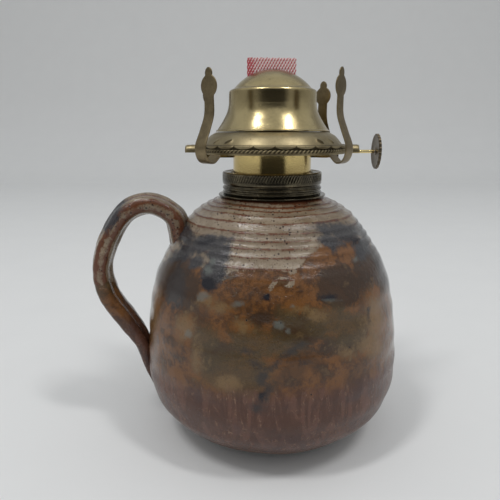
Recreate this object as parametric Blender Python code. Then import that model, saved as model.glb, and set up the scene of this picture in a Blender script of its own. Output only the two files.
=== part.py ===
# Pottery oil lamp with a loop handle, a brass collar and a brass flat-wick burner.
# Metres, +Z up. The origin is the middle of the pot's foot, on the table.
# The wick wheel's rod lies along +X. The handle is at the -X side, turned a little to -Y.
import math

import bmesh
import bpy

for old in list(bpy.data.objects):
    bpy.data.objects.remove(old, do_unlink=True)

# every size below is in millimetres
MM = 0.001
GAP = 0.3

# pot: outside line as radius and height, from the foot to the waist, then over the shoulder
FOOT_RADIUS = 46.0
WAIST = (67.4, 61.0)
BODY_LINE = [(FOOT_RADIUS, 0.0), (56.2, 6.8), (65.2, 17.6), (68.8, 34.0), WAIST]
NECK_FOOT = 124.2
SHOULDER_LINE = [WAIST, (61.6, 87.0), (47.9, 109.3), (38.8, 118.4), (26.0, NECK_FOOT)]
WALL = 5.0
FLOOR = 6.4
NECK_RADIUS = 23.9
NECK_WALL = 5.1
NECK_RISE = 6.2
NECK_TOP = NECK_FOOT + NECK_RISE
RIDGE_COUNT = 9
RIDGE_DEPTH = 0.5
POT_SIDES = 34

# handle: middle line in its own upright plane, from the waist: out, up, thickness and width
HANDLE_TURN = 186.0
HANDLE_LINE = [
    (-18.8, 36.0, 11.5, 22.0), (-15.8, 52.4, 12.2, 21.0), (-2.4, 59.6, 11.8, 20.0),
    (11.8, 52.6, 11.4, 19.5), (23.0, 30.0, 11.0, 19.0), (21.4, 11.5, 11.2, 19.0),
    (12.0, -4.0, 11.4, 18.5), (4.2, -18.0, 9.4, 15.0), (1.8, -33.0, 5.6, 9.0), (-1.0, -44.5, 2.6, 5.0),
]
HANDLE_SIDES = 12
HANDLE_SQUARENESS = 0.8

# screw plug of the burner, which the collar's bore takes
PLUG_RADIUS = 21.8
PLUG_RISE = 5.0
PLUG_BEVEL = 0.5

# collar: flange below, two beads, a wide band and a rolled lip
COLLAR_WALL = 1.9
COLLAR_RADIUS = NECK_RADIUS + GAP + COLLAR_WALL
COLLAR_FOOT = NECK_FOOT + GAP
COLLAR_RISE = 6.4
COLLAR_TOP = NECK_TOP + COLLAR_RISE
COLLAR_BORE = PLUG_RADIUS + GAP
FLANGE_REACH = 2.2
FLANGE_THICK = 0.7
BEAD = 0.8
BEAD_PITCH = 1.9
BAND_START = 5.0
BAND_STEP = 0.6

# burner base: bright cylinder on the plug, the air plate above it and a channel for the rod
BASE_LOW = NECK_TOP + 2 * GAP
PLUG_STEP = 1.4
BASE_RADIUS = PLUG_RADIUS - PLUG_STEP
BASE_WALL = 1.0
BASE_RISE = 15.4
PLATE_LOW = BASE_LOW + BASE_RISE
PLATE_THICK = 0.8
PLATE_TOP = PLATE_LOW + PLATE_THICK
AIR_HOLES = 10
AIR_HOLE_RADIUS = 1.7
AIR_HOLE_TURN = 0.3
CHANNEL_DROP = 2.8
CHANNEL_WALL = 0.8
CHANNEL_HALF = 2.2

# gallery: a lip round the air plate, a rope bead, a flat seat for a chimney and a sloping skirt,
# whose knots are the way in from the seat's edge and the rise
SEAT_OUTER = 37.9
SEAT_WIDTH = 1.9
LIP_LOW = PLATE_LOW - GAP
LIP_INSET = 0.1
LIP_RADIUS = SEAT_OUTER - LIP_INSET
LIP_THICK = 1.2
LIP_RISE = 0.8
RIM_RISE = 4.6
SEAT_HEIGHT = LIP_LOW + RIM_RISE
SEAT_THICK = 1.2
PLATE_RADIUS = LIP_RADIUS - LIP_THICK - GAP
ROPE = 0.85
ROPE_INSET = 0.2
ROPE_DROP = 2.95
SKIRT_MIDDLE = (5.3, 3.9)
SKIRT_TOP = (8.8, 6.0)
SKIRT_SHEET = 0.7
SHELF = 3.3
SLIT_LENGTH = 3.9
SLIT_WIDTH = 1.3
SLIT_INSET = 3.1
SLIT_SPREAD = 7.0
SLIT_LEAN = 72.0

# deflector: flared bell, small step and dome in one sheet, with the wick's slot
BELL_FOOT = SEAT_HEIGHT + SKIRT_TOP[1] + GAP
BELL_RADIUS = SEAT_OUTER - SKIRT_TOP[0]
BELL_LINE = [(BELL_RADIUS, 0.0), (25.7, 5.0), (23.3, 9.6), (22.4, 13.4)]
BELL_RISE = 19.6
BELL_STEP = 0.6
STEP_RISE = 0.9
DOME_RADIUS = 20.2
DOME_RISE = 9.9
SHEET = 0.6
DOME_FOOT = BELL_FOOT + BELL_RISE + STEP_RISE
DOME_TOP = DOME_FOOT + DOME_RISE

# prongs: strips that hook under the rim, from the seat's edge: out and up
PRONG_HIGH = 34.1
PRONG_LINE = [
    (4.3, PRONG_HIGH), (4.1, 21.7), (4.3, 13.7), (6.9, 6.7), (9.9, -0.7), (8.5, -6.4), (4.9, -8.0),
    (1.1, -4.9),
]
DISC_DROP = 8.0
DISC_RADIUS = 4.9
NUB_DROP = 2.5
NUB_HALF = 2.15
NUB_NECK = 1.2
PRONG_NECK = 5.4
PRONG_FOOT = 7.0
PRONG_SHEET = 0.8
PRONG_TWIST = 7.0
# the fourth is bent aside, as on the real lamp
PRONG_TURNS = {"prong_fr": -45.0, "prong_fl": -135.0, "prong_br": 45.0, "prong_bl": 147.0}

# wick, and its tube, which leaves room for the wick's shift to one side
WICK_WIDTH = 25.0
WICK_THICK = 3.0
WICK_CLEAR = 15.6
WICK_LOW = FLOOR + WICK_CLEAR
WICK_RISE = 5.6
WICK_HIGH = DOME_TOP + WICK_RISE
WICK_SLANT = 0.4
WICK_SHIFT = -0.6
TUBE_WALL = 0.4
TUBE_WIDTH = WICK_WIDTH + 2 * (abs(WICK_SHIFT) + GAP + TUBE_WALL)
TUBE_THICK = WICK_THICK + 2 * (2 * GAP + TUBE_WALL)
TUBE_DIP = 3.4
TUBE_LOW = NECK_TOP - TUBE_DIP
TUBE_DROP = 5.2
TUBE_HIGH = DOME_TOP - TUBE_DROP
SLOT_PLAY = 0.2
SLOT_LENGTH = TUBE_WIDTH + SLOT_PLAY
SLOT_WIDTH = TUBE_THICK + 2 * SLOT_PLAY

# wheel that raises the wick: rod, two spurs between the tube's ears, and a knob
SHAFT_RADIUS = 0.9
SHAFT_PLAY = 0.1
SHAFT_SIDES = 16
SHAFT_END = 2.5
SPUR_RADIUS = 4.2
SPUR_TOOTH = 1.0
SPUR_TEETH = 10
SPUR_WIDTH = 1.6
SPUR_PLAY = 0.8
EAR_INSET = 2.6
EAR_THICK = 1.2
EAR_REACH = 2.3
EAR_AT = TUBE_WIDTH / 2 - EAR_INSET
SPUR_INSET = 4.5
SPUR_AT = EAR_AT - SPUR_INSET
SHAFT_RISE = 0.3
SHAFT_HEIGHT = PLATE_LOW + SHAFT_RISE
SHAFT_Y = WICK_THICK / 2 + GAP + SPUR_RADIUS
KNOB_RADIUS = 9.3
KNOB_NOTCH = 0.5
KNOB_NOTCHES = 20
KNOB_THICK = 1.5

# lugs of the gallery, one at each end of the rod's line
LUG_ROOT = 1.6
LUG_LENGTH = 8.4
LUG_INNER = SEAT_OUTER - LUG_ROOT
LUG_REACH = SEAT_OUTER + LUG_LENGTH
LUG_WIDTH = 6.4
LUG_RISE = 3.7
LUG_TOP = SHAFT_HEIGHT + LUG_RISE
LUG_WALL = 0.8
LUG_ROOM = 0.9
ROD_SHOWN = 8.9
KNOB_AT = LUG_REACH + ROD_SHOWN


def material(name, colour, metallic, roughness):
    surface = bpy.data.materials.new(name)
    surface.use_nodes = True
    shader = surface.node_tree.nodes["Principled BSDF"]
    shader.inputs["Base Color"].default_value = (*colour, 1.0)
    shader.inputs["Metallic"].default_value = metallic
    shader.inputs["Roughness"].default_value = roughness
    return surface


def finished(name, form, surface):
    # turns a bmesh in millimetres into an object in metres, smooth but for its sharp edges
    bmesh.ops.remove_doubles(form, verts=form.verts, dist=0.001)
    bmesh.ops.scale(form, vec=(MM, MM, MM), verts=form.verts)
    bmesh.ops.recalc_face_normals(form, faces=form.faces)
    mesh = bpy.data.meshes.new(name)
    form.to_mesh(mesh)
    form.free()
    mesh.shade_smooth()
    mesh.set_sharp_from_angle(angle=math.radians(35))
    made = bpy.data.objects.new(name, mesh)
    bpy.context.collection.objects.link(made)
    if surface:
        mesh.materials.append(surface)
    return made


def turned(name, outline, sides, surface=None):
    # spins an outline of radius and height round Z; ends on the axis close by themselves
    form = bmesh.new()
    points = [form.verts.new((radius, 0.0, height)) for radius, height in outline]
    edges = [form.edges.new(pair) for pair in zip(points, points[1:])]
    if outline[0][0] > 0:
        edges.append(form.edges.new((points[-1], points[0])))
    bmesh.ops.spin(
        form, geom=points + edges, axis=(0, 0, 1), cent=(0, 0, 0), angle=2 * math.pi, steps=sides,
        use_merge=True,
    )
    return finished(name, form, surface)


def pushed(name, outline, reach, surface=None):
    # pushes a flat outline along a vector
    form = bmesh.new()
    face = form.faces.new([form.verts.new(point) for point in outline])
    grown = bmesh.ops.extrude_face_region(form, geom=[face], use_keep_orig=True)["geom"]
    moved = [part for part in grown if isinstance(part, bmesh.types.BMVert)]
    bmesh.ops.translate(form, vec=reach, verts=moved)
    return finished(name, form, surface)


def block(name, low, high, surface=None):
    corners = [(low[0], low[1]), (high[0], low[1]), (high[0], high[1]), (low[0], high[1])]
    outline = [(x, y, low[2]) for x, y in corners]
    return pushed(name, outline, (0, 0, high[2] - low[2]), surface)


def skinned(name, rings, surface=None):
    # skins a row of equal rings and closes both ends
    form = bmesh.new()
    rows = [[form.verts.new(point) for point in ring] for ring in rings]
    for one, two in zip(rows, rows[1:]):
        for step in range(len(one)):
            form.faces.new((one[step - 1], one[step], two[step], two[step - 1]))
    form.faces.new(rows[0])
    form.faces.new(rows[-1])
    return finished(name, form, surface)


def circle(radius, sides, offset=0.0):
    turns = [2 * math.pi * (step + offset) / sides for step in range(sides)]
    return [(radius * math.cos(turn), radius * math.sin(turn)) for turn in turns]


def notched(outer, inner, count):
    # a wheel's outline, one point on each tooth and one in each gap
    outline = []
    for step, (x, y) in enumerate(circle(1.0, 2 * count)):
        radius = inner if step % 2 else outer
        outline.append((radius * x, radius * y))
    return outline


def arc(middle, radius, start, end, steps):
    # points on a circle between two angles in degrees
    points = []
    for step in range(steps + 1):
        turn = math.radians(start + (end - start) * step / steps)
        points.append((middle[0] + radius * math.cos(turn), middle[1] + radius * math.sin(turn)))
    return points


def curve(knots, steps):
    # a smooth line through all knots: each stretch is a cubic led by its neighbours
    line = []
    for index in range(len(knots) - 1):
        last = min(index + 2, len(knots) - 1)
        led = (knots[max(index - 1, 0)], knots[index], knots[index + 1], knots[last])
        for step in range(steps):
            t = step / steps
            line.append(tuple(
                b + 0.5 * t * (c - a + t * (2 * a - 5 * b + 4 * c - d + t * (3 * (b - c) + d - a)))
                for a, b, c, d in zip(*led)
            ))
    line.append(tuple(knots[-1]))
    return line


def normals(line):
    # for each point of a line, the unit vector to its right
    found = []
    for index in range(len(line)):
        one = line[max(index - 1, 0)]
        two = line[min(index + 1, len(line) - 1)]
        along = math.hypot(two[0] - one[0], two[1] - one[1])
        found.append(((two[1] - one[1]) / along, (one[0] - two[0]) / along))
    return found


def beside(line, distance):
    # the line moved sideways, to its right for a positive distance
    return [(p[0] + distance * n[0], p[1] + distance * n[1]) for p, n in zip(line, normals(line))]


def shape_with(target, tool, operation):
    # adds or takes away a helper solid, which stays as a hidden wire
    change = target.modifiers.new(tool.name, "BOOLEAN")
    change.operation = operation
    change.solver = "EXACT"
    change.object = tool
    tool.hide_render = True
    tool.display_type = "WIRE"


def ridged(line, count, depth):
    # a throwing ridge is a crest and then a groove; the first ones are shallow
    fine = curve(line, 12)
    sides = normals(fine)
    outline = []
    for mark in range(1, 2 * count + 1):
        index = round((len(fine) - 1) * mark / (2 * count + 1))
        push = depth / 2 * (1 if mark % 2 else -1) * min(1.0, mark / 6)
        outline.append((fine[index][0] + push * sides[index][0], fine[index][1] + push * sides[index][1]))
    return outline


def handle_shape():
    # the section is a rounded oblong, set square to the middle line
    line = curve(HANDLE_LINE, 3)
    rings = []
    for (out, rise, thick, wide), side in zip(line, normals(line)):
        ring = []
        for u, v in circle(1.0, HANDLE_SIDES, 0.5):
            across = math.copysign(abs(u) ** HANDLE_SQUARENESS, u) * wide / 2
            deep = math.copysign(abs(v) ** HANDLE_SQUARENESS, v) * thick / 2
            ring.append((WAIST[0] + out + side[0] * deep, across, WAIST[1] + rise + side[1] * deep))
        rings.append(ring)
    strap = skinned("handle_shape", rings)
    strap.rotation_euler.z = math.radians(HANDLE_TURN)
    return strap


def make_pot():
    clay = material("glaze", (0.33, 0.2, 0.11), 0.0, 0.25)
    body = curve(BODY_LINE, 2)[:-1]
    neck = [SHOULDER_LINE[-1], (NECK_RADIUS, NECK_FOOT), (NECK_RADIUS, NECK_TOP)]
    outline = [(0, 0)] + body + ridged(SHOULDER_LINE, RIDGE_COUNT, RIDGE_DEPTH) + neck + [(0, NECK_TOP)]
    pot = turned("pot", outline, POT_SIDES, clay)
    walls = beside(curve(BODY_LINE, 2)[2:] + curve(SHOULDER_LINE, 2)[1:-2], -WALL)
    hollow = [(0, FLOOR), (FOOT_RADIUS - WALL, FLOOR)] + walls
    bore = NECK_RADIUS - NECK_WALL
    hollow += [(bore, NECK_FOOT - WALL), (bore, NECK_TOP + WALL), (0, NECK_TOP + WALL)]
    shape_with(pot, handle_shape(), "UNION")
    shape_with(pot, turned("pot_hollow", hollow, POT_SIDES), "DIFFERENCE")


def make_collar():
    brass = material("old_brass", (0.3, 0.26, 0.16), 1.0, 0.42)
    flange_top = COLLAR_FOOT + FLANGE_THICK
    flange_radius = COLLAR_RADIUS + FLANGE_REACH
    outline = [(flange_radius, COLLAR_FOOT), (flange_radius, flange_top)]
    for number in range(2):
        middle = (COLLAR_RADIUS - BEAD, flange_top + BEAD_PITCH * (0.6 + number))
        outline += arc(middle, BEAD, -75, 75, 3)
    band_foot = flange_top + BAND_START
    outline += [(COLLAR_RADIUS - BAND_STEP, band_foot), (COLLAR_RADIUS, band_foot + BAND_STEP)]
    outline += arc((COLLAR_RADIUS - BEAD, COLLAR_TOP - BEAD), BEAD, 0, 90, 2)
    outline += [(COLLAR_BORE, COLLAR_TOP - BEAD / 2), (COLLAR_BORE, NECK_TOP + GAP)]
    outline += [(NECK_RADIUS + GAP, NECK_TOP + GAP), (NECK_RADIUS + GAP, COLLAR_FOOT)]
    turned("collar", outline, 28, brass)


def make_channel(base, word, side):
    # a trough under the plate in which the rod lies, open at both ends
    start = BASE_RADIUS - 2 * BASE_WALL
    ends = sorted((side * start, side * (PLATE_RADIUS - CHANNEL_WALL)))
    foot = PLATE_LOW - CHANNEL_DROP
    low = (ends[0], SHAFT_Y - CHANNEL_HALF, foot)
    high = (ends[1], SHAFT_Y + CHANNEL_HALF, PLATE_LOW + PLATE_THICK / 2)
    shape_with(base, block("trough_" + word, low, high), "UNION")
    room = CHANNEL_HALF - CHANNEL_WALL
    ends = sorted((side * (start - BASE_WALL), side * (PLATE_RADIUS + GAP)))
    low = (ends[0], SHAFT_Y - room, foot + CHANNEL_WALL)
    high = (ends[1], SHAFT_Y + room, PLATE_TOP + PLATE_THICK)
    shape_with(base, block("trough_room_" + word, low, high), "DIFFERENCE")


def make_base():
    brass = material("bright_brass", (0.72, 0.54, 0.22), 1.0, 0.2)
    plug_top = BASE_LOW + PLUG_RISE
    inner = BASE_RADIUS - BASE_WALL
    outline = [
        (0, BASE_LOW), (PLUG_RADIUS, BASE_LOW), (PLUG_RADIUS, plug_top - PLUG_BEVEL),
        (BASE_RADIUS, plug_top),
        (BASE_RADIUS, PLATE_LOW), (PLATE_RADIUS, PLATE_LOW), (PLATE_RADIUS, PLATE_TOP),
        (inner, PLATE_TOP), (inner, BASE_LOW + BASE_WALL), (0, BASE_LOW + BASE_WALL),
    ]
    base = turned("burner_base", outline, 28, brass)
    slot_x = TUBE_WIDTH / 2 + GAP
    slot_y = TUBE_THICK / 2 + GAP
    low = (-slot_x, -slot_y, BASE_LOW - BASE_WALL)
    high = (slot_x, slot_y, BASE_LOW + 2 * BASE_WALL)
    shape_with(base, block("base_slot", low, high), "DIFFERENCE")
    make_channel(base, "left", -1)
    make_channel(base, "right", 1)
    for index, (x, y) in enumerate(circle((BASE_RADIUS + PLATE_RADIUS) / 2, AIR_HOLES)):
        round_hole = circle(AIR_HOLE_RADIUS, 8, AIR_HOLE_TURN)
        outline = [(x + u, y + v, PLATE_LOW - PLATE_THICK) for u, v in round_hole]
        hole = pushed("air_hole_%d" % index, outline, (0, 0, 3 * PLATE_THICK))
        shape_with(base, hole, "DIFFERENCE")


def make_lug(gallery, side):
    # a pressed tunnel with a round crown; the rod leaves by the right one, the left one is closed
    half = LUG_WIDTH / 2
    foot = LIP_LOW + LUG_WALL / 4
    section = [(half, foot)] + arc((0, LUG_TOP - half), half, 0, 180, 6) + [(-half, foot)]
    outline = [(side * LUG_INNER, SHAFT_Y + y, z) for y, z in section]
    word = "right" if side > 0 else "left"
    lug = pushed("lug_" + word, outline, (side * (LUG_REACH - LUG_INNER), 0, 0))
    shape_with(gallery, lug, "UNION")
    reach = LUG_REACH + (LUG_WALL if side > 0 else -LUG_WALL)
    start, end = sorted((side * (LUG_INNER - LUG_WIDTH), side * reach))
    low = (start, SHAFT_Y - half + LUG_WALL, foot - 2 * LUG_WALL)
    high = (end, SHAFT_Y + half - LUG_WALL, SHAFT_HEIGHT + SHAFT_RADIUS + LUG_ROOM)
    shape_with(gallery, block("tunnel_" + word, low, high), "DIFFERENCE")


def make_gallery():
    brass = material("satin_brass", (0.5, 0.41, 0.2), 1.0, 0.35)
    edge = (SEAT_OUTER, SEAT_HEIGHT)
    skirt = [(SEAT_OUTER - SEAT_WIDTH, SEAT_HEIGHT)]
    for inset, rise in (SKIRT_MIDDLE, SKIRT_TOP, (SKIRT_TOP[0] + SHELF, SKIRT_TOP[1])):
        skirt.append((SEAT_OUTER - inset, SEAT_HEIGHT + rise))
    under = beside([edge] + skirt, -SKIRT_SHEET)[::-1]
    rope = arc((SEAT_OUTER - ROPE_INSET, SEAT_HEIGHT - ROPE_DROP), ROPE, -60, 60, 3)
    outline = [(LIP_RADIUS, LIP_LOW), (LIP_RADIUS, LIP_LOW + LIP_RISE)] + rope + [edge] + skirt + under[:-1]
    inner = LIP_RADIUS - LIP_THICK
    outline += [(inner, SEAT_HEIGHT - SEAT_THICK), (inner, LIP_LOW)]
    gallery = turned("gallery", outline, 36, brass)
    for side in (1, -1):
        make_lug(gallery, side)
    for quarter in range(4):
        for side in (1, -1):
            turn = 45 + 90 * quarter + side * SLIT_SPREAD
            shape_with(gallery, slit(turn, SLIT_LEAN if quarter % 2 else -SLIT_LEAN), "DIFFERENCE")


def slit(turn, lean):
    # a thin upright cutter that stands on the skirt, askew to the radius
    half = SLIT_LENGTH / 2
    thin = SLIT_WIDTH / 2
    corners = [(-half, -thin), (half, -thin), (half, thin), (-half, thin)]
    cosine = math.cos(math.radians(lean))
    sine = math.sin(math.radians(lean))
    middle = SEAT_OUTER - SLIT_INSET
    foot = SEAT_HEIGHT - SKIRT_SHEET - GAP
    outline = [(middle + u * cosine - v * sine, u * sine + v * cosine, foot) for u, v in corners]
    tool = pushed("slit_%d" % turn, outline, (0, 0, SKIRT_TOP[1] + 2 * SKIRT_SHEET))
    tool.rotation_euler.z = math.radians(turn)
    return tool


def make_deflector():
    # the dome is a part of a sphere that rises from its foot to its top
    brass = material("bell_brass", (0.52, 0.42, 0.2), 1.0, 0.3)
    sphere = (DOME_RADIUS ** 2 + DOME_RISE ** 2) / (2 * DOME_RISE)
    edge = math.degrees(math.acos(DOME_RADIUS / sphere))
    dome = arc((0, DOME_TOP - sphere), sphere, edge, 90, 4)[:-1]
    bell = [(radius, BELL_FOOT + rise) for radius, rise in curve(BELL_LINE, 2)]
    crown = BELL_LINE[-1][0]
    outside = bell + [(crown, BELL_FOOT + BELL_RISE), (crown - BELL_STEP, DOME_FOOT)] + dome
    inside = beside(outside, -SHEET)
    inside[0] = (BELL_RADIUS - SHEET, BELL_FOOT)
    outline = [(0, DOME_TOP)] + outside[::-1] + inside + [(0, DOME_TOP - SHEET)]
    deflector = turned("deflector", outline, 28, brass)
    low = (-SLOT_LENGTH / 2, -SLOT_WIDTH / 2, DOME_FOOT)
    high = (SLOT_LENGTH / 2, SLOT_WIDTH / 2, DOME_TOP + SHEET)
    shape_with(deflector, block("slot", low, high), "DIFFERENCE")


def prong_width(rise):
    # a nub stands on a disc, which stands on a strip that widens downwards
    disc_at = PRONG_HIGH - DISC_DROP
    nub_at = PRONG_HIGH - NUB_DROP
    share = (disc_at - rise) / (disc_at - PRONG_LINE[-1][1])
    width = PRONG_NECK + (PRONG_FOOT - PRONG_NECK) * min(share, 1.0) if share > 0 else NUB_NECK
    disc = DISC_RADIUS ** 2 - (rise - disc_at) ** 2
    nub = NUB_HALF ** 2 - ((rise - nub_at) * NUB_HALF / NUB_DROP) ** 2
    return max(width, 2 * math.sqrt(max(disc, 0.0)), 2 * math.sqrt(max(nub, 0.0)))


def make_prongs():
    brass = material("prong_brass", (0.4, 0.33, 0.18), 1.0, 0.38)
    line = curve(PRONG_LINE[:2], 15)[:-1] + curve(PRONG_LINE[1:], 2)
    rings = []
    twist = math.radians(PRONG_TWIST)
    for (out, rise), side in zip(line, normals(line)):
        half = prong_width(rise) / 2
        ring = []
        for across, deep in ((-half, -1), (half, -1), (half, 1), (-half, 1)):
            thick = deep * PRONG_SHEET / 2
            x = SEAT_OUTER + out + side[0] * thick - across * math.sin(twist)
            ring.append((x, across * math.cos(twist), SEAT_HEIGHT + rise + side[1] * thick))
        rings.append(ring)
    first = skinned("prong_fr", rings, brass)
    for name, turn in PRONG_TURNS.items():
        prong = first
        if name != first.name:
            prong = bpy.data.objects.new(name, first.data)
            bpy.context.collection.objects.link(prong)
        prong.rotation_euler.z = math.radians(turn)


def make_wick_tube():
    brass = material("tube_brass", (0.5, 0.4, 0.2), 1.0, 0.4)
    half = TUBE_WIDTH / 2
    deep = TUBE_THICK / 2
    tube = block("wick_tube", (-half, -deep, TUBE_LOW), (half, deep, TUBE_HIGH), brass)
    for x in (-EAR_AT, EAR_AT):
        low = (x - EAR_THICK / 2, deep - TUBE_WALL / 2, SHAFT_HEIGHT - EAR_REACH)
        high = (x + EAR_THICK / 2, SHAFT_Y + EAR_REACH, SHAFT_HEIGHT + EAR_REACH)
        shape_with(tube, block("ear_%d" % x, low, high), "UNION")
    low = (TUBE_WALL - half, TUBE_WALL - deep, TUBE_LOW - TUBE_WALL)
    high = (half - TUBE_WALL, deep - TUBE_WALL, TUBE_HIGH + TUBE_WALL)
    shape_with(tube, block("tube_bore", low, high), "DIFFERENCE")
    for x in (-SPUR_AT, SPUR_AT):
        window = SPUR_WIDTH / 2 + SPUR_PLAY
        low = (x - window, deep - 2 * TUBE_WALL, SHAFT_HEIGHT - SPUR_RADIUS)
        high = (x + window, deep + TUBE_WALL, SHAFT_HEIGHT + SPUR_RADIUS)
        shape_with(tube, block("window_%d" % x, low, high), "DIFFERENCE")
    bore = circle(SHAFT_RADIUS + SHAFT_PLAY, SHAFT_SIDES)
    outline = [(-half, SHAFT_Y + y, SHAFT_HEIGHT + z) for y, z in bore]
    shape_with(tube, pushed("ear_bore", outline, (TUBE_WIDTH, 0, 0)), "DIFFERENCE")


def make_wheel():
    # rod, spurs and knob turn together about one axis, which the empty marks
    axis = bpy.data.objects.new("wheel_axis", None)
    axis.location = (0, SHAFT_Y * MM, SHAFT_HEIGHT * MM)
    bpy.context.collection.objects.link(axis)
    brass = material("rod_brass", (0.75, 0.6, 0.28), 1.0, 0.22)
    start = -(EAR_AT + EAR_THICK / 2 + SHAFT_END)
    outline = [(start, y, z) for y, z in circle(SHAFT_RADIUS, SHAFT_SIDES)]
    shaft = pushed("wick_shaft", outline, (KNOB_AT - GAP - start, 0, 0), brass)
    teeth = notched(SPUR_RADIUS, SPUR_RADIUS - SPUR_TOOTH, SPUR_TEETH)
    for x in (-SPUR_AT, SPUR_AT):
        outline = [(x - SPUR_WIDTH / 2, y, z) for y, z in teeth]
        spur = pushed("spur_%d" % x, outline, (SPUR_WIDTH, 0, 0))
        spur.parent = axis
        shape_with(shaft, spur, "UNION")
    rim = notched(KNOB_RADIUS, KNOB_RADIUS - KNOB_NOTCH, KNOB_NOTCHES)
    old = material("knob_brass", (0.34, 0.28, 0.16), 1.0, 0.4)
    knob = pushed("wick_knob", [(KNOB_AT, y, z) for y, z in rim], (KNOB_THICK, 0, 0), old)
    shaft.parent = axis
    knob.parent = axis


def make_wick():
    cotton = material("cotton", (0.85, 0.5, 0.5), 0.0, 0.95)
    half = WICK_WIDTH / 2
    left = WICK_HIGH + WICK_SLANT / 2
    right = WICK_HIGH - WICK_SLANT / 2
    outline = [(-half, WICK_LOW), (half, WICK_LOW), (half, right), (-half, left)]
    front = -WICK_THICK / 2
    pushed("wick", [(x + WICK_SHIFT, front, z) for x, z in outline], (0, WICK_THICK, 0), cotton)


make_pot()
make_collar()
make_base()
make_gallery()
make_deflector()
make_prongs()
make_wick_tube()
make_wheel()
make_wick()
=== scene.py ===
# Pottery oil lamp with a brass flat-wick burner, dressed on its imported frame.
# Shapes are in millimetres until surfaceMesh turns them into metres.
import math

import bmesh
import bpy
import numpy as np
from mathutils import Matrix, Vector


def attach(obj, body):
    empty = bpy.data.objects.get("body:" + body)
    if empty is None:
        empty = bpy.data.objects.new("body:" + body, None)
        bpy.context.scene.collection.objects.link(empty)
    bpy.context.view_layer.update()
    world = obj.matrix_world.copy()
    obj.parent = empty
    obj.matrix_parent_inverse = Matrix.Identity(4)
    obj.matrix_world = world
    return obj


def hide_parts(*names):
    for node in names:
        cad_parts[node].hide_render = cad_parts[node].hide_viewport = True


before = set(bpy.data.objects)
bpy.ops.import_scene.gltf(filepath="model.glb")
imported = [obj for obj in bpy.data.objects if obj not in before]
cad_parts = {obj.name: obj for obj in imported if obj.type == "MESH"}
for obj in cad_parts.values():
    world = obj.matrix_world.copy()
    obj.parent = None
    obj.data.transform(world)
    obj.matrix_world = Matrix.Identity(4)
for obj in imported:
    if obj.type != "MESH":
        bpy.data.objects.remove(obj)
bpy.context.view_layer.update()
mm = 0.001
gap = 0.3


# camera, set at the photograph's viewpoint: place in mm, angles in degrees, focal length in pixels
cameraSet = {"place": (-8.97, -256.84, 155.0), "pitch": 13.4, "heading": 0.6, "roll": -0.1, "focal": 480.0}
photoSize = 500


def cameraAxes():
    # right, up and forward of a camera turned by heading, tipped down by pitch and rolled
    heading, pitch, roll = (math.radians(cameraSet[key]) for key in ("heading", "pitch", "roll"))
    right = np.array([math.cos(heading), math.sin(heading), 0.0])
    ahead = np.array([
        -math.sin(heading) * math.cos(pitch), math.cos(heading) * math.cos(pitch), -math.sin(pitch),
    ])
    up = np.cross(right, ahead)
    turnedRight = math.cos(roll) * right + math.sin(roll) * up
    turnedUp = math.cos(roll) * up - math.sin(roll) * right
    return turnedRight, turnedUp, ahead


def makeCamera():
    right, up, ahead = cameraAxes()
    data = bpy.data.cameras.new("photoCamera")
    data.sensor_width = 36.0
    data.lens = 36.0 * cameraSet["focal"] / photoSize
    data.clip_start = 0.01
    camera = bpy.data.objects.new("photoCamera", data)
    turn = Matrix((right, up, -ahead)).transposed().to_4x4()
    camera.matrix_world = Matrix.Translation(Vector(cameraSet["place"]) * mm) @ turn
    bpy.context.collection.objects.link(camera)
    bpy.context.scene.camera = camera


# shape helpers
def curve(knots, steps):
    # a cubic through all knots, each stretch led by its two neighbours
    knots = np.array(knots, float)
    padded = np.vstack([knots[:1], knots, knots[-1:]])
    a, b, c, d = padded[:-3], padded[1:-2], padded[2:-1], padded[3:]
    t = (np.arange(steps) / steps)[None, :, None]
    a, b, c, d = (k[:, None, :] for k in (a, b, c, d))
    line = b + 0.5 * t * (c - a + t * (2 * a - 5 * b + 4 * c - d + t * (3 * (b - c) + d - a)))
    return np.vstack([line.reshape(-1, knots.shape[1]), knots[-1:]])


def evenly(line, count):
    # the same line with points at equal distances along it
    steps = np.hypot(*np.diff(line[:, :2], axis=0).T)
    along = np.concatenate([[0.0], np.cumsum(steps)])
    marks = np.linspace(0.0, along[-1], count)
    return np.stack([np.interp(marks, along, column) for column in line.T], axis=1)


def rightOf(line):
    # unit vectors to the right of a line of two columns
    way = np.gradient(line[:, :2], axis=0)
    way /= np.linalg.norm(way, axis=1, keepdims=True) + 1e-9
    return np.stack([way[:, 1], -way[:, 0]], axis=1)


def rounded(corners, radius, steps=5):
    # a polyline whose inner corners are replaced by arcs drawn as quadratic curves
    corners = np.array(corners, float)
    points = [corners[0]]
    for before, corner, after in zip(corners, corners[1:], corners[2:]):
        reach = min(radius, np.linalg.norm(before - corner) / 2.2, np.linalg.norm(after - corner) / 2.2)
        start = corner + (before - corner) / np.linalg.norm(before - corner) * reach
        end = corner + (after - corner) / np.linalg.norm(after - corner) * reach
        t = np.linspace(0.0, 1.0, steps)[:, None]
        points.extend((1 - t) ** 2 * start + 2 * t * (1 - t) * corner + t ** 2 * end)
    points.append(corners[-1])
    return np.array(points)


def ripple(points, size, seed, waves=14):
    # smooth noise of about -1 to 1: sine waves of about the given length in seeded directions
    dice = np.random.default_rng(seed)
    ways = dice.normal(size=(waves, 3))
    ways /= np.linalg.norm(ways, axis=1, keepdims=True)
    pace = 2 * math.pi / size * dice.uniform(0.6, 1.5, waves)
    total = np.sin(points @ (ways * pace[:, None]).T + dice.uniform(0, 2 * math.pi, waves))
    return total.sum(axis=-1) / math.sqrt(waves)


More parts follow.
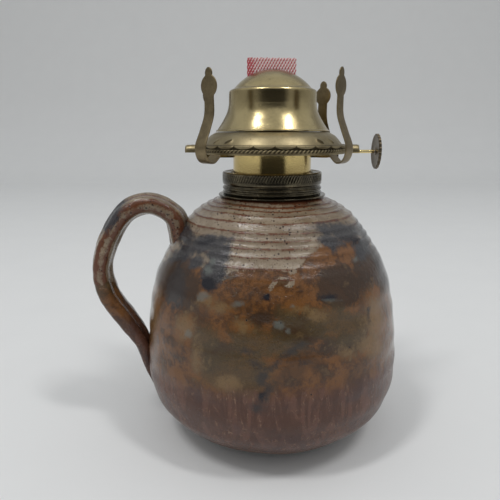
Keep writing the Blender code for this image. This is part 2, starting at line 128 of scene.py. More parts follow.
def surfaceMesh(name, grid, wrapRows=False, wrapColumns=True, fields=None, capEnds=False):
    # quads between the neighbours of a grid of points; doubles at seams and poles are merged
    rows, columns = grid.shape[:2]
    index = np.arange(rows * columns).reshape(rows, columns)
    low = index if wrapRows else index[:-1]
    high = np.roll(index, -1, axis=0) if wrapRows else index[1:]
    a, b = (low, np.roll(low, -1, axis=1)) if wrapColumns else (low[:, :-1], low[:, 1:])
    d, c = (high, np.roll(high, -1, axis=1)) if wrapColumns else (high[:, :-1], high[:, 1:])
    faces = np.stack([a, b, c, d], axis=-1).reshape(-1, 4).tolist()
    if capEnds:
        faces += [index[0].tolist(), index[-1].tolist()]
    mesh = bpy.data.meshes.new(name)
    mesh.from_pydata((grid.reshape(-1, 3) * mm).tolist(), [], faces)
    for key, values in (fields or {}).items():
        layer = mesh.attributes.new(key, "FLOAT", "POINT")
        layer.data.foreach_set("value", np.ascontiguousarray(values, dtype=np.float32).ravel())
    form = bmesh.new()
    form.from_mesh(mesh)
    bmesh.ops.remove_doubles(form, verts=form.verts, dist=2e-6)
    bmesh.ops.dissolve_degenerate(form, edges=form.edges, dist=1e-7)
    bmesh.ops.recalc_face_normals(form, faces=form.faces)
    form.to_mesh(mesh)
    form.free()
    return mesh


def piece(name, mesh, body, material, nodes=(), sharp=40.0):
    # an object at the origin, smooth but for its sharp edges, that rides on a body
    mesh.shade_smooth()
    mesh.set_sharp_from_angle(angle=math.radians(sharp))
    made = bpy.data.objects.new(name, mesh)
    bpy.context.collection.objects.link(made)
    mesh.materials.clear()
    mesh.materials.append(material)
    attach(made, body)
    if nodes:
        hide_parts(*nodes)
    return made


def lathe(outline, columns):
    # every point of an outline of radius and height goes round Z
    turn = np.linspace(0.0, 2 * math.pi, columns, endpoint=False)
    radius, height = outline[:, :1], outline[:, 1:2]
    return np.stack([radius * np.cos(turn), radius * np.sin(turn), height + 0 * turn], axis=-1)


def cutAway(mesh, tools, name):
    # takes helper solids away from a mesh
    solid = bpy.data.objects.new(name, mesh)
    bpy.context.collection.objects.link(solid)
    for tool in tools:
        change = solid.modifiers.new("cut", "BOOLEAN")
        change.operation = "DIFFERENCE"
        change.solver = "EXACT"
        change.object = tool
    seen = bpy.context.evaluated_depsgraph_get()
    made = bpy.data.meshes.new_from_object(solid.evaluated_get(seen))
    for helper in [solid] + list(tools):
        bpy.data.objects.remove(helper, do_unlink=True)
    return made


def prism(name, outline, low, high):
    # a helper solid: a flat outline of x and y, closed, between two heights
    outline = np.array(outline, float)
    bottom = np.column_stack([outline, np.full(len(outline), low)])
    top = np.column_stack([outline, np.full(len(outline), high)])
    mesh = surfaceMesh(name, np.stack([bottom, top]), capEnds=True)
    helper = bpy.data.objects.new(name, mesh)
    bpy.context.collection.objects.link(helper)
    return helper


# shader helpers
def node(tree, kind, inputs=None, **settings):
    made = tree.nodes.new(kind)
    for key, value in settings.items():
        setattr(made, key, value)
    for key, value in (inputs or {}).items():
        if isinstance(value, bpy.types.NodeSocket):
            tree.links.new(value, made.inputs[key])
        else:
            made.inputs[key].default_value = value
    return made


def calc(tree, operation, *values, clamp=False):
    made = node(tree, "ShaderNodeMath", dict(enumerate(values)), operation=operation, use_clamp=clamp)
    return made.outputs[0]


def blend(tree, factor, one, two, mode="MIX"):
    one, two = ((*c, 1.0) if isinstance(c, tuple) else c for c in (one, two))
    made = node(
        tree, "ShaderNodeMix", {0: factor, 6: one, 7: two}, data_type="RGBA", blend_type=mode,
        clamp_factor=True,
    )
    return made.outputs[2]


def cloud(tree, place, scale, detail=4.0, roughness=0.55, distortion=0.0):
    made = node(tree, "ShaderNodeTexNoise", {
        "Vector": place, "Scale": scale, "Detail": detail, "Roughness": roughness,
        "Distortion": distortion,
    })
    return made.outputs[0]


def step(tree, value, low, high):
    # 0 below low and 1 above high, smooth between; low above high turns it round
    made = node(tree, "ShaderNodeMapRange", {
        "Value": value, "From Min": low, "From Max": high, "To Min": 0.0, "To Max": 1.0,
    }, interpolation_type="SMOOTHSTEP")
    return made.outputs[0]


def stretched(tree, place, scale):
    made = node(tree, "ShaderNodeMapping", {"Vector": place, "Scale": scale})
    return made.outputs[0]


def specks(tree, place, scale, size, share):
    # round dots in the cells of a Voronoi pattern, in a share of the cells
    cells = node(tree, "ShaderNodeTexVoronoi", {"Vector": place, "Scale": scale, "Randomness": 1.0})
    dot = step(tree, cells.outputs["Distance"], size, size * 0.55)
    chance = node(tree, "ShaderNodeSeparateColor", {"Color": cells.outputs["Color"]})
    return calc(tree, "MULTIPLY", dot, step(tree, chance.outputs[0], 1.0 - share, 1.0 - share * 0.8))


def newGroup(name, inputs, outputs):
    # a shader node group with named sockets; returns the group, its inputs and its output node
    group = bpy.data.node_groups.new(name, "ShaderNodeTree")
    kinds = {"v": "NodeSocketVector", "f": "NodeSocketFloat", "c": "NodeSocketColor"}
    for key, kind in inputs.items():
        group.interface.new_socket(name=key, in_out="INPUT", socket_type=kinds[kind])
    for key, kind in outputs.items():
        group.interface.new_socket(name=key, in_out="OUTPUT", socket_type=kinds[kind])
    given = group.nodes.new("NodeGroupInput").outputs
    put = group.nodes.new("NodeGroupOutput")
    return group, given, put


def newMaterial(name):
    # a material with its shader, and Object coordinates in millimetres
    material = bpy.data.materials.new(name)
    material.use_nodes = True
    tree = material.node_tree
    shader = tree.nodes["Principled BSDF"]
    where = node(tree, "ShaderNodeTexCoord")
    place = node(tree, "ShaderNodeVectorMath", {0: where.outputs["Object"], 3: 1000.0}, operation="SCALE")
    return material, tree, shader, place.outputs[0]


def dress(tree, shader, group, inputs, distance=0.001):
    # puts a group's colour, roughness and height on the shader
    used = node(tree, "ShaderNodeGroup")
    used.node_tree = group
    for key, value in inputs.items():
        if isinstance(value, bpy.types.NodeSocket):
            tree.links.new(value, used.inputs[key])
        else:
            used.inputs[key].default_value = (*value, 1.0) if isinstance(value, tuple) else value
    bump = node(tree, "ShaderNodeBump", {
        "Strength": 1.0, "Distance": distance, "Height": used.outputs["Height"],
    })
    tree.links.new(used.outputs["Colour"], shader.inputs["Base Color"])
    tree.links.new(used.outputs["Roughness"], shader.inputs["Roughness"])
    tree.links.new(bump.outputs[0], shader.inputs["Normal"])
    return used


# glaze: colours are linear, and a field is a distance in mm or pixels, positive inside its patch
glazeSet = {
    "cream": (0.285, 0.225, 0.160), "greyCream": (0.17, 0.125, 0.083), "line": (0.115, 0.042, 0.020),
    "iron": (0.022, 0.010, 0.008), "rust": (0.165, 0.070, 0.022), "darkRust": (0.060, 0.027, 0.013),
    "umber": (0.040, 0.023, 0.014), "olive": (0.105, 0.071, 0.030), "ochre": (0.22, 0.135, 0.060),
    "cobalt": (0.020, 0.020, 0.025), "navy": (0.010, 0.009, 0.013), "pale": (0.15, 0.165, 0.15),
    "smoke": (0.030, 0.026, 0.026), "plum": (0.075, 0.032, 0.021), "tan": (0.34, 0.20, 0.125),
    "clay": (0.125, 0.080, 0.060),
}
glazeFields = ("Zone", "Line", "Cobalt", "Navy", "Olive", "Ochre", "Pale", "Smoke", "Umber", "Runs", "Foot")


def makeGlaze():
    inputs = {"Place": "v", **{key: "f" for key in glazeFields}}
    group, given, put = newGroup("runnyGlaze", inputs, {"Colour": "c", "Roughness": "f", "Height": "f"})
    place = given["Place"]
    tone = glazeSet
    soft = calc(group, "SUBTRACT", cloud(group, place, 0.16, 5.0, 0.6), 0.5)
    broken = calc(group, "SUBTRACT", cloud(group, place, 0.5, 6.0, 0.7, 0.3), 0.5)
    fine = calc(group, "SUBTRACT", cloud(group, place, 2.2, 4.0, 0.7), 0.5)
    wide = cloud(group, place, 0.055, 4.0, 0.6, 0.6)

    def patch(field, spread, low, high, fineness=2.0):
        # a field whose edge is pushed about by the noises
        pushed = calc(group, "MULTIPLY_ADD", soft, spread, given[field])
        pushed = calc(group, "MULTIPLY_ADD", broken, spread * 0.8, pushed)
        pushed = calc(group, "MULTIPLY_ADD", fine, fineness, pushed)
        return step(group, pushed, low, high)

    # upper glaze: cream, greyer where thick, red-brown where it breaks over the ridges, iron specks
    cream = blend(group, step(group, wide, 0.35, 0.7), tone["cream"], tone["greyCream"])
    cream = blend(group, step(group, broken, 0.02, 0.22), cream, tone["greyCream"])
    line = calc(group, "MULTIPLY_ADD", broken, 1.3, given["Line"])
    line = calc(group, "MULTIPLY_ADD", fine, 1.0, line)
    line = calc(group, "MULTIPLY_ADD", soft, 1.5, line)
    lineMask = step(group, line, 0.50, 0.78)
    stain = calc(group, "MULTIPLY", step(group, line, 0.26, 0.62), 0.55)
    cream = blend(group, stain, cream, (0.19, 0.125, 0.078))
    cream = blend(group, lineMask, cream, tone["line"])
    bigDots = specks(group, place, 0.38, 0.22, 0.7)
    dots = calc(group, "MAXIMUM", bigDots, specks(group, place, 0.9, 0.30, 0.5))
    cream = blend(group, dots, cream, tone["iron"])

    # lower glaze: rust broken by umber, olive and ochre
    mottle = calc(group, "MULTIPLY_ADD", broken, 0.55, soft)
    rust = blend(group, step(group, mottle, -0.10, 0.17), tone["rust"], tone["darkRust"])
    rust = blend(group, calc(group, "MULTIPLY", step(group, wide, 0.50, 0.66), 0.55), rust, tone["umber"])
    low = blend(group, calc(group, "MULTIPLY", patch("Umber", 13.0, -4.0, 2.0), 0.88), rust, tone["umber"])
    olive = blend(group, step(group, fine, -0.25, 0.2), tone["olive"], (0.060, 0.041, 0.020))
    low = blend(group, calc(group, "MULTIPLY", patch("Olive", 17.0, -5.0, 5.0), 0.75), low, olive)
    low = blend(group, calc(group, "MULTIPLY", patch("Ochre", 18.0, -3.0, 5.0), 0.7), low, tone["ochre"])
    low = blend(group, calc(group, "MULTIPLY", step(group, soft, 0.08, 0.2), 0.3), low, tone["ochre"])
    grain = step(group, cloud(group, place, 1.1, 5.0, 0.75), 0.52, 0.68)
    low = blend(group, calc(group, "MULTIPLY", grain, 0.6), low, (0.05, 0.032, 0.022))

    # runs above the foot: plum, with thin tan fringes along upright streaks
    streak = cloud(group, stretched(group, place, (0.22, 0.22, 0.045)), 1.0, 5.0, 0.65, 0.8)
    runs = patch("Runs", 9.0, -5.0, 4.0)
    plum = blend(group, step(group, streak, 0.42, 0.60), tone["plum"], (0.13, 0.058, 0.040))
    clouded = calc(group, "MULTIPLY", step(group, wide, 0.45, 0.62), 0.5)
    plum = blend(group, clouded, plum, (0.06, 0.03, 0.028))
    fringe = calc(group, "ABSOLUTE", calc(group, "SUBTRACT", streak, 0.53))
    fringe = calc(group, "MULTIPLY", step(group, fringe, 0.022, 0.004), step(group, broken, -0.06, 0.12))
    plum = blend(group, calc(group, "MULTIPLY", fringe, 0.75), plum, tone["tan"])
    low = blend(group, calc(group, "MULTIPLY", runs, 0.92), low, plum)
    zone = patch("Zone", 4.5, -0.5, 0.5, 1.2)
    colour = blend(group, zone, cream, low)

    # marks over both glazes
    lace = calc(group, "MULTIPLY", step(group, fine, 0.1, -0.18), 0.35)
    blue = blend(group, lace, tone["cobalt"], (0.2, 0.2, 0.2))
    colour = blend(group, calc(group, "MULTIPLY", patch("Cobalt", 9.0, -3.0, 2.0, 4.0), 0.94), colour, blue)
    smoky = calc(group, "MULTIPLY", patch("Smoke", 8.0, -2.5, 3.0), 0.8)
    colour = blend(group, smoky, colour, tone["smoke"])
    colour = blend(group, patch("Navy", 6.0, -1.5, 2.5), colour, tone["navy"])
    paleMask = patch("Pale", 5.0, -0.5, 2.5, 2.5)
    colour = blend(group, calc(group, "MULTIPLY", paleMask, 0.55), colour, tone["pale"])
    holes = calc(group, "MULTIPLY", specks(group, place, 0.42, 0.16, 0.6), paleMask)
    pits = calc(group, "MULTIPLY", specks(group, place, 0.12, 0.055, 0.8), zone)
    holes = calc(group, "MAXIMUM", holes, pits)
    colour = blend(group, holes, colour, (0.006, 0.005, 0.005))
    foot = patch("Foot", 2.0, -0.5, 0.6, 0.6)
    clay = blend(group, step(group, fine, -0.2, 0.25), tone["clay"], (0.10, 0.06, 0.045))
    colour = blend(group, foot, colour, clay)
    group.links.new(colour, put.inputs["Colour"])

    shine = calc(group, "MULTIPLY_ADD", calc(group, "MULTIPLY", runs, zone), 0.20, 0.06)
    shine = calc(group, "MULTIPLY_ADD", broken, 0.12, shine)
    shine = calc(group, "MULTIPLY_ADD", foot, 0.42, shine)
    shine = calc(group, "MULTIPLY_ADD", lineMask, 0.06, shine)
    group.links.new(shine, put.inputs["Roughness"])
    bumps = calc(group, "MULTIPLY", broken, 0.16)
    bumps = calc(group, "MULTIPLY_ADD", soft, 0.28, bumps)
    bumps = calc(group, "MULTIPLY_ADD", fine, 0.05, bumps)
    bumps = calc(group, "MULTIPLY_ADD", dots, -0.05, bumps)
    bumps = calc(group, "MULTIPLY_ADD", holes, -0.5, bumps)
    bumps = calc(group, "MULTIPLY_ADD", zone, -0.12, bumps)
    bumps = calc(group, "MULTIPLY_ADD", calc(group, "MULTIPLY", fringe, runs), 0.12, bumps)
    group.links.new(bumps, put.inputs["Height"])
    return group


def glazeMaterial(name, group):
    material, tree, shader, place = newMaterial(name)
    inputs = {"Place": place}
    for key in glazeFields:
        inputs[key] = node(tree, "ShaderNodeAttribute", attribute_name=key).outputs["Fac"]
    dress(tree, shader, group, inputs)
    shader.inputs["IOR"].default_value = 1.45
    return material


# pot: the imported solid's outside line, with finer throwing ridges
potSet = {
    "footRadius": 46.0, "waist": (67.4, 61.0), "neckFoot": 124.2, "neckRadius": 23.9, "neckWall": 5.1,
    "neckTop": 130.4, "wall": 5.0, "floor": 6.4, "widest": 68.8,
    "ridgePitch": 4.4, "ridgeDepth": 0.5, "ridgeFoot": 92.0, "rows": 250, "columns": 320,
}
bodyLine = [(potSet["footRadius"], 0.0), (56.2, 6.8), (65.2, 17.6), (68.8, 34.0), potSet["waist"]]
shoulderLine = [potSet["waist"], (61.6, 87.0), (47.9, 109.3), (38.8, 118.4), (26.0, potSet["neckFoot"])]
potSkin = evenly(np.vstack([curve(bodyLine, 40)[:-1], curve(shoulderLine, 40)]), potSet["rows"])
potSkin[:, 0] = np.minimum(potSkin[:, 0], potSet["widest"])
potAlong = np.linspace(0.0, np.hypot(*np.diff(potSkin, axis=0).T).sum(), potSet["rows"])

# marks on the pot, read from the photograph: x, y, half width, half height in pixels, tilt in degrees
marks = {
    "Cobalt": [
        (206, 243, 20, 9, -8), (218, 252, 12, 12, 30), (190, 248, 8, 6, -20), (213, 272, 11, 14, 10),
        (345, 231, 24, 8, 4), (332, 241, 12, 7, 20), (364, 246, 6, 11, 0), (196, 262, 9, 6, 0),
    ],
    "Navy": [
        (208, 284, 8, 8, 35), (204, 242, 9, 4, -10), (267, 296, 5, 5, 0), (330, 297, 9, 3, 0),
        (369, 312, 1.5, 9, 0), (222, 273, 5, 3, -30), (355, 240, 8, 3, 10), (262, 398, 4, 6, 20),
    ],
    "Smoke": [
        (290, 353, 13, 4, -38), (274, 366, 13, 4, -38), (263, 378, 6, 9, 10), (266, 397, 5, 13, 8),
        (258, 408, 8, 4, 0), (308, 362, 6, 2, 10), (247, 352, 5, 3, 0), (174, 285, 10, 22, 0),
        (256, 365, 8, 4, 30), (302, 344, 3, 2, 0),
    ],
    "Umber": [
        (174, 276, 16, 26, 0), (188, 292, 12, 20, 0), (340, 286, 24, 22, 10), (366, 268, 12, 22, 0),
        (300, 330, 28, 18, 0), (345, 345, 26, 10, -10), (214, 352, 22, 10, 0), (262, 318, 16, 7, 0),
    ],
    "Olive": [
        (232, 372, 40, 24, 5), (330, 322, 34, 16, 0), (262, 345, 40, 14, 0), (352, 330, 22, 18, 0),
        (205, 340, 16, 14, 0), (290, 318, 14, 10, 0), (246, 392, 22, 10, 0),
    ],
    "Ochre": [
        (184, 327, 10, 15, 20), (243, 326, 10, 6, 0), (206, 302, 10, 5, 0), (318, 316, 12, 7, 0),
        (220, 308, 12, 5, 0), (226, 384, 13, 10, 0), (375, 318, 10, 26, 0), (300, 310, 10, 5, 0),
        (196, 360, 6, 16, 0), (372, 345, 12, 12, 0), (346, 353, 9, 5, 0),
    ],
    "Pale": [
        (202, 296, 7, 6, -20), (238, 304, 8, 4, 0), (279, 325, 8, 5, 20), (288, 331, 4, 4, 0),
        (356, 259, 3, 3.5, 0), (187, 334, 5, 5, 0), (228, 278, 5, 1.5, -15), (212, 262, 4, 5, 0),
        (335, 300, 10, 1.2, 0), (208, 270, 5, 6, 0), (292, 306, 4, 3, 0),
    ],
}
splash = [  # cream left standing in the rust below the edge: same columns
    (271, 287, 2.6, 3.2, 30), (275, 282, 3.4, 2.6, -30), (283, 279, 7, 2.2, 0), (291, 283, 3.0, 4.6, 15),
    (287, 286, 3.4, 1.6, 20), (224, 278, 5, 1.4, -15),
]
creamEdge = [  # lower edge of the cream glaze, left to right
    (160, 262), (172, 257), (186, 254), (200, 264), (214, 281), (222, 281), (230, 274), (240, 271),
    (252, 272), (266, 270), (280, 272), (294, 273), (301, 268), (307, 258), (316, 250), (323, 242),
    (340, 240), (354, 236), (368, 244),
]
farEdge = [
    (74, 99.0), (100, 95.0), (128, 104.0), (155, 98.0), (180, 92.0), (207, 101.0), (236, 95.0), (262, 103.0),
]


def onPot(pixels):
    # where the lines of sight through pixels meet the pot: angle from the front, and way up the skin
    pixels = np.atleast_2d(np.array(pixels, float))
    right, up, ahead = cameraAxes()
    half = photoSize / 2
    sight = (
        ahead + (pixels[:, :1] - half) / cameraSet["focal"] * right
        + (half - pixels[:, 1:2]) / cameraSet["focal"] * up
    )
    start = np.array(cameraSet["place"])
    reach = np.linspace(150.0, 300.0, 1501)
    points = start + sight[:, None, :] * reach[None, :, None]
    away = np.hypot(points[..., 0], points[..., 1]) - np.interp(points[..., 2], potSkin[:, 1], potSkin[:, 0])
    hit = np.where((away < 0).any(axis=1), (away < 0).argmax(axis=1), away.argmin(axis=1))
    found = points[np.arange(len(points)), hit]
    angle = np.arctan2(found[:, 0], -found[:, 1])
    return np.stack([angle, np.interp(found[:, 2], potSkin[:, 1], potAlong)], axis=1)


def spots(angle, along, radius, marksList, copies=((0.0, 1.0, 0.0),)):
    # largest of the distances inside a list of ellipses; each copy is turned, scaled and shifted up
    best = np.full(angle.shape, -30.0)
    for x, y, halfWidth, halfHeight, tilt in marksList:
        middle, besides, below = onPot([(x, y), (x + 1, y), (x, y + 1)])
        girth = np.interp(middle[1], potAlong, potSkin[:, 0])
        stretch = np.array([[girth, 0.0], [0.0, 1.0]]) @ np.stack([besides - middle, below - middle], axis=1)
        back = np.linalg.inv(stretch)
        cosine, sine = math.cos(math.radians(tilt)), math.sin(math.radians(tilt))
        for turn, size, lift in copies:
            off = (angle - middle[0] - math.radians(turn) + math.pi) % (2 * math.pi) - math.pi
            away = np.stack([off * girth, along - middle[1] - lift], axis=-1) @ back.T / size
            u = away[..., 0] * cosine + away[..., 1] * sine
            v = away[..., 1] * cosine - away[..., 0] * sine
            inside = (1 - np.hypot(u / halfWidth, v / halfHeight)) * min(halfWidth, halfHeight) * 0.8
            best = np.maximum(best, np.clip(inside, -30, 12))
    return best


def ridgeWave(angle, along):
    # crests evenly up the skin that lean a little round the pot; 1 on a crest, 0 in a groove
    lean = 0.5 * np.sin(angle - 0.6) + 0.12 * np.sin(3 * angle + 1.0)
    phase = (along + lean) / potSet["ridgePitch"] + 0.16 * np.sin(along * 0.31)
    return 1 - np.abs(np.sin(math.pi * phase))


def makePot(group):
    turn = np.linspace(0.0, 2 * math.pi, potSet["columns"], endpoint=False)
    angle = (turn + math.pi / 2 + math.pi) % (2 * math.pi) - math.pi  # 0 in front, towards +X positive
    radius = potSkin[:, :1] + 0 * turn
    height = potSkin[:, 1:2] + 0 * turn
    angle = angle + 0 * radius
    along = potAlong[:, None] + 0 * turn
    side = rightOf(potSkin)
    flat = np.stack([radius * np.sin(angle), -radius * np.cos(angle), height], axis=-1)
    share = np.clip((height - potSet["ridgeFoot"]) / 14.0, 0.0, 1.0)
    share = share * np.clip((124.0 - height) / 1.5, 0.0, 1.0)
    crest = ridgeWave(angle, along)
    push = potSet["ridgeDepth"] * (crest ** 1.3 - 0.45) * share
    push += 0.16 * np.sin(height / 2.1 + 0.8 * np.sin(angle)) * (1 - share) * np.clip(height / 20, 0, 1)
    push += 0.22 * ripple(flat, 46.0, 3) + 0.07 * ripple(flat, 12.0, 4) - 0.45
    bump = np.exp(-((angle - 0.96) / 0.10) ** 2 - ((height - 107.0) / 2.6) ** 2)
    push += 0.9 * bump
    push *= np.clip(height / 3.0, 0.0, 1.0) * np.clip((124.6 - height) / 2.0, 0.0, 1.0)
    radius = np.minimum(radius + push * side[:, :1], potSet["widest"] - 0.05)
    height = height + push * side[:, 1:2]
    edge = onPot(creamEdge)
    edgeAngle = np.concatenate([edge[:, 0], np.radians([a for a, _ in farEdge])])
    edgeHeight = np.concatenate([np.interp(edge[:, 1], potAlong, potSkin[:, 1]), [h for _, h in farEdge]])
    order = np.argsort(edgeAngle)
    line = np.interp(angle, edgeAngle[order], edgeHeight[order], period=2 * math.pi)
    copies = ((0.0, 1.0, 0.0), (118.0, 1.15, 3.0), (-112.0, 0.95, -4.0), (176.0, 1.1, 1.0))
    fields = {key: spots(angle, along, radius, value, copies) for key, value in marks.items()}
    left = spots(angle, along, radius, splash, ((0.0, 1.0, 0.0), (150.0, 1.5, 2.0)))
    fields["Zone"] = np.minimum(line - height, np.clip(-left * 1.2, -4, 30))
    nearNeck = np.clip((height - 119.5) / 5, 0, 0.5)
    fields["Line"] = crest ** 1.6 * np.clip((height - 80.0) / 8.0, 0.0, 1.0) + nearNeck
    shelf = 43.0 + 4.0 * np.sin(angle * 1.0 - 0.2) + 3.0 * np.sin(2 * angle + 1.8)
    fields["Runs"] = shelf - height
    fields["Foot"] = 9.5 + 0.5 * np.sin(3 * angle) - height
    outer = np.stack([radius * np.sin(angle), -radius * np.cos(angle), height], axis=-1)
    # underside, neck, bore and the hollow's skin, as plain rings that close the shell
    wall = potSet["wall"]
    bore = potSet["neckRadius"] - potSet["neckWall"]
    inner = potSkin[20:-24:6] - wall * side[20:-24:6]
    inside = np.vstack([
        rounded([
            (26.0, potSet["neckFoot"]), (potSet["neckRadius"], potSet["neckFoot"]),
            (potSet["neckRadius"], potSet["neckTop"]), (bore, potSet["neckTop"]),
            (bore, potSet["neckFoot"] - wall),
        ], 0.6)[1:],
        inner[::-1], [(potSet["footRadius"] - wall, potSet["floor"]), (0.0, potSet["floor"])],
    ])
    under = np.array([(0.0, 0.0), (42.0, 0.0), (45.2, 0.0)])
    rings = np.vstack([lathe(under, potSet["columns"]), outer, lathe(inside, potSet["columns"])])
    for key in fields:
        fill = {"Zone": 30.0, "Foot": 10.0, "Runs": -30.0, "Line": 0.0}.get(key, -30.0)
        below = np.full((len(under), potSet["columns"]), fill)
        above = np.full((len(inside), potSet["columns"]), fill)
        fields[key] = np.vstack([below, fields[key], above])
    mesh = surfaceMesh("pot", rings, fields=fields)
    piece("potGlazed", mesh, "lamp", glazeMaterial("potGlaze", group), ["pot"], 60)


# handle: a pulled strap; knots are out and up from the waist, thickness and width
handleSet = {
    "turn": 186.0, "squareness": 0.8, "rows": 170, "columns": 96, "groove": 0.5,
    "knots": [
        (-18.8, 36.0, 11.5, 22.0), (-15.8, 52.4, 12.2, 21.0), (-2.4, 59.6, 11.8, 20.0),
        (11.8, 52.6, 11.4, 19.5), (23.0, 30.0, 11.0, 19.0), (21.4, 11.5, 11.2, 19.0),
        (12.0, -4.0, 11.4, 18.5), (4.2, -18.0, 9.4, 15.0), (1.8, -33.0, 5.6, 9.0), (-1.0, -44.5, 2.6, 5.0),
    ],
}


def makeHandle(group):
    # rings of a squarish oval, square to the middle line; grooves run along the outer face
    line = evenly(curve(handleSet["knots"], 30), handleSet["rows"])
    line[:, 0] += potSet["waist"][0]
    line[:, 1] += potSet["waist"][1]
    side = rightOf(line)
    turn = np.linspace(0.0, 2 * math.pi, handleSet["columns"], endpoint=False)
    power = handleSet["squareness"]
    u = np.sign(np.cos(turn)) * np.abs(np.cos(turn)) ** power
    v = np.sign(np.sin(turn)) * np.abs(np.sin(turn)) ** power
    along = np.linspace(0.0, 1.0, handleSet["rows"])[:, None]
    wide, thick = line[:, 3:4] / 2, line[:, 2:3] / 2
    outer = np.clip(-v, 0, 1)
    groove = handleSet["groove"] * np.cos(2.2 * math.pi * u) * np.abs(v) ** 2 * np.clip(thick / 4, 0, 1)
    across = u * wide
    deep = v * thick + np.sign(v) * (groove - handleSet["groove"] * 0.6)
    out = line[:, :1] + side[:, :1] * deep
    height = line[:, 1:2] + side[:, 1:2] * deep
    turned = math.radians(handleSet["turn"])
    grid = np.stack([
        out * math.cos(turned) - across * math.sin(turned),
        out * math.sin(turned) + across * math.cos(turned), height,
    ], axis=-1)
    wobble = 0.22 * ripple(grid, 22.0, 8) + 0.08 * ripple(grid, 7.0, 9)
    inward = np.stack([
        side[:, :1] * v * math.cos(turned) - u * math.sin(turned) * np.ones_like(out),
        side[:, :1] * v * math.sin(turned) + u * math.cos(turned) * np.ones_like(out), side[:, 1:2] * v,
    ], axis=-1)
    grid = grid + inward * (wobble - 0.3)[..., None]
    ones = np.ones_like(out)
    edges = np.exp(-((np.abs(u) - 0.93) / 0.09) ** 2)
    grooves = np.exp(-((np.abs(u) - 0.45) / 0.10) ** 2) * outer
    fields = {
        "Line": (edges * 0.95 + grooves * 0.85 + 0.25 * outer) * ones,
        "Zone": (along - 0.56) * 60.0 + 0 * out,
        "Cobalt": 9.0 - np.hypot((along - 0.33) * 150.0, (turn - 4.1) * 4.0) + 0 * out,
        "Navy": 7.0 - np.hypot((along - 0.31) * 150.0, (turn - 4.0) * 5.0) + 0 * out,
        "Olive": 6.0 - np.abs(along - 0.50) * 80.0 + 0 * out,
        "Smoke": (along - 0.80) * 30.0 - 4.0 + 0 * out,
        "Runs": (along - 0.72) * 60.0 + 0 * out,
    }
    for key in glazeFields:
        fields.setdefault(key, np.full(out.shape, -30.0))
    mesh = surfaceMesh("handle", grid, fields=fields, capEnds=True)
    piece("potHandle", mesh, "lamp", glazeMaterial("handleGlaze", group), sharp=60)


# brass: one group for every brass piece
def makeBrass():
    inputs = {"Place": "v", "Clean": "c", "Dull": "c", "Dark": "c", "Tarnish": "f", "Shine": "f",
              "Scratch": "f", "Grime": "f"}
    group, given, put = newGroup("agedBrass", inputs, {"Colour": "c", "Roughness": "f", "Height": "f"})
    place = given["Place"]
    wide = cloud(group, place, 0.09, 5.0, 0.6, 0.4)
    small = cloud(group, place, 0.7, 6.0, 0.75)
    grain = cloud(group, place, 4.0, 3.0, 0.7)
    dull = calc(group, "ADD", calc(group, "MULTIPLY", wide, 0.6), calc(group, "MULTIPLY", small, 0.4))
    dull = calc(group, "ADD", dull, calc(group, "SUBTRACT", given["Tarnish"], 0.5))
    colour = blend(group, step(group, dull, 0.38, 0.66), given["Clean"], given["Dull"])
    spots = calc(group, "MULTIPLY", specks(group, place, 0.55, 0.2, 0.4), step(group, small, 0.45, 0.6))
    blots = calc(group, "MAXIMUM", spots, step(group, calc(group, "ADD", dull, given["Tarnish"]), 1.22, 1.5))
    colour = blend(group, calc(group, "MULTIPLY", blots, 0.7), colour, given["Dark"])
    colour = blend(group, calc(group, "MULTIPLY", given["Grime"], 0.88), colour, given["Dark"])
    group.links.new(colour, put.inputs["Colour"])
    rough = calc(group, "MULTIPLY_ADD", calc(group, "SUBTRACT", dull, 0.5), 0.35, given["Shine"])
    rough = calc(group, "MULTIPLY_ADD", given["Grime"], 0.2, rough)
    rough = calc(group, "MULTIPLY_ADD", calc(group, "SUBTRACT", grain, 0.5), 0.10, rough)
    group.links.new(calc(group, "MAXIMUM", rough, 0.06), put.inputs["Roughness"])
    fine = cloud(group, stretched(group, place, (1.0, 1.0, 9.0)), 0.9, 3.0, 0.6)
    height = calc(group, "MULTIPLY", grain, 0.012)
    height = calc(group, "MULTIPLY_ADD", small, 0.03, height)
    height = calc(group, "MULTIPLY_ADD", calc(group, "MULTIPLY", fine, given["Scratch"]), 0.02, height)
    group.links.new(height, put.inputs["Height"])
    return group


def brassMaterial(name, group, clean, dull, dark, tarnish, shine, scratch=1.0):
    material, tree, shader, place = newMaterial(name)
    shader.inputs["Metallic"].default_value = 1.0
    grime = node(tree, "ShaderNodeAttribute", attribute_name="Grime").outputs["Fac"]
    dress(tree, shader, group, {
        "Place": place, "Clean": clean, "Dull": dull, "Dark": dark, "Tarnish": tarnish, "Shine": shine,
        "Scratch": scratch, "Grime": grime,
    })
    return material


# collar: flange, two beads, a groove, a knurled band and a rolled lip
collarSet = {
    "foot": 124.5, "top": 136.8, "radius": 26.1, "bore": 22.1, "flange": 28.3, "bead": 0.8,
    "ticks": 110, "tickLow": 132.3, "tickHigh": 136.0, "tickDepth": 0.4, "columns": 1104,
}


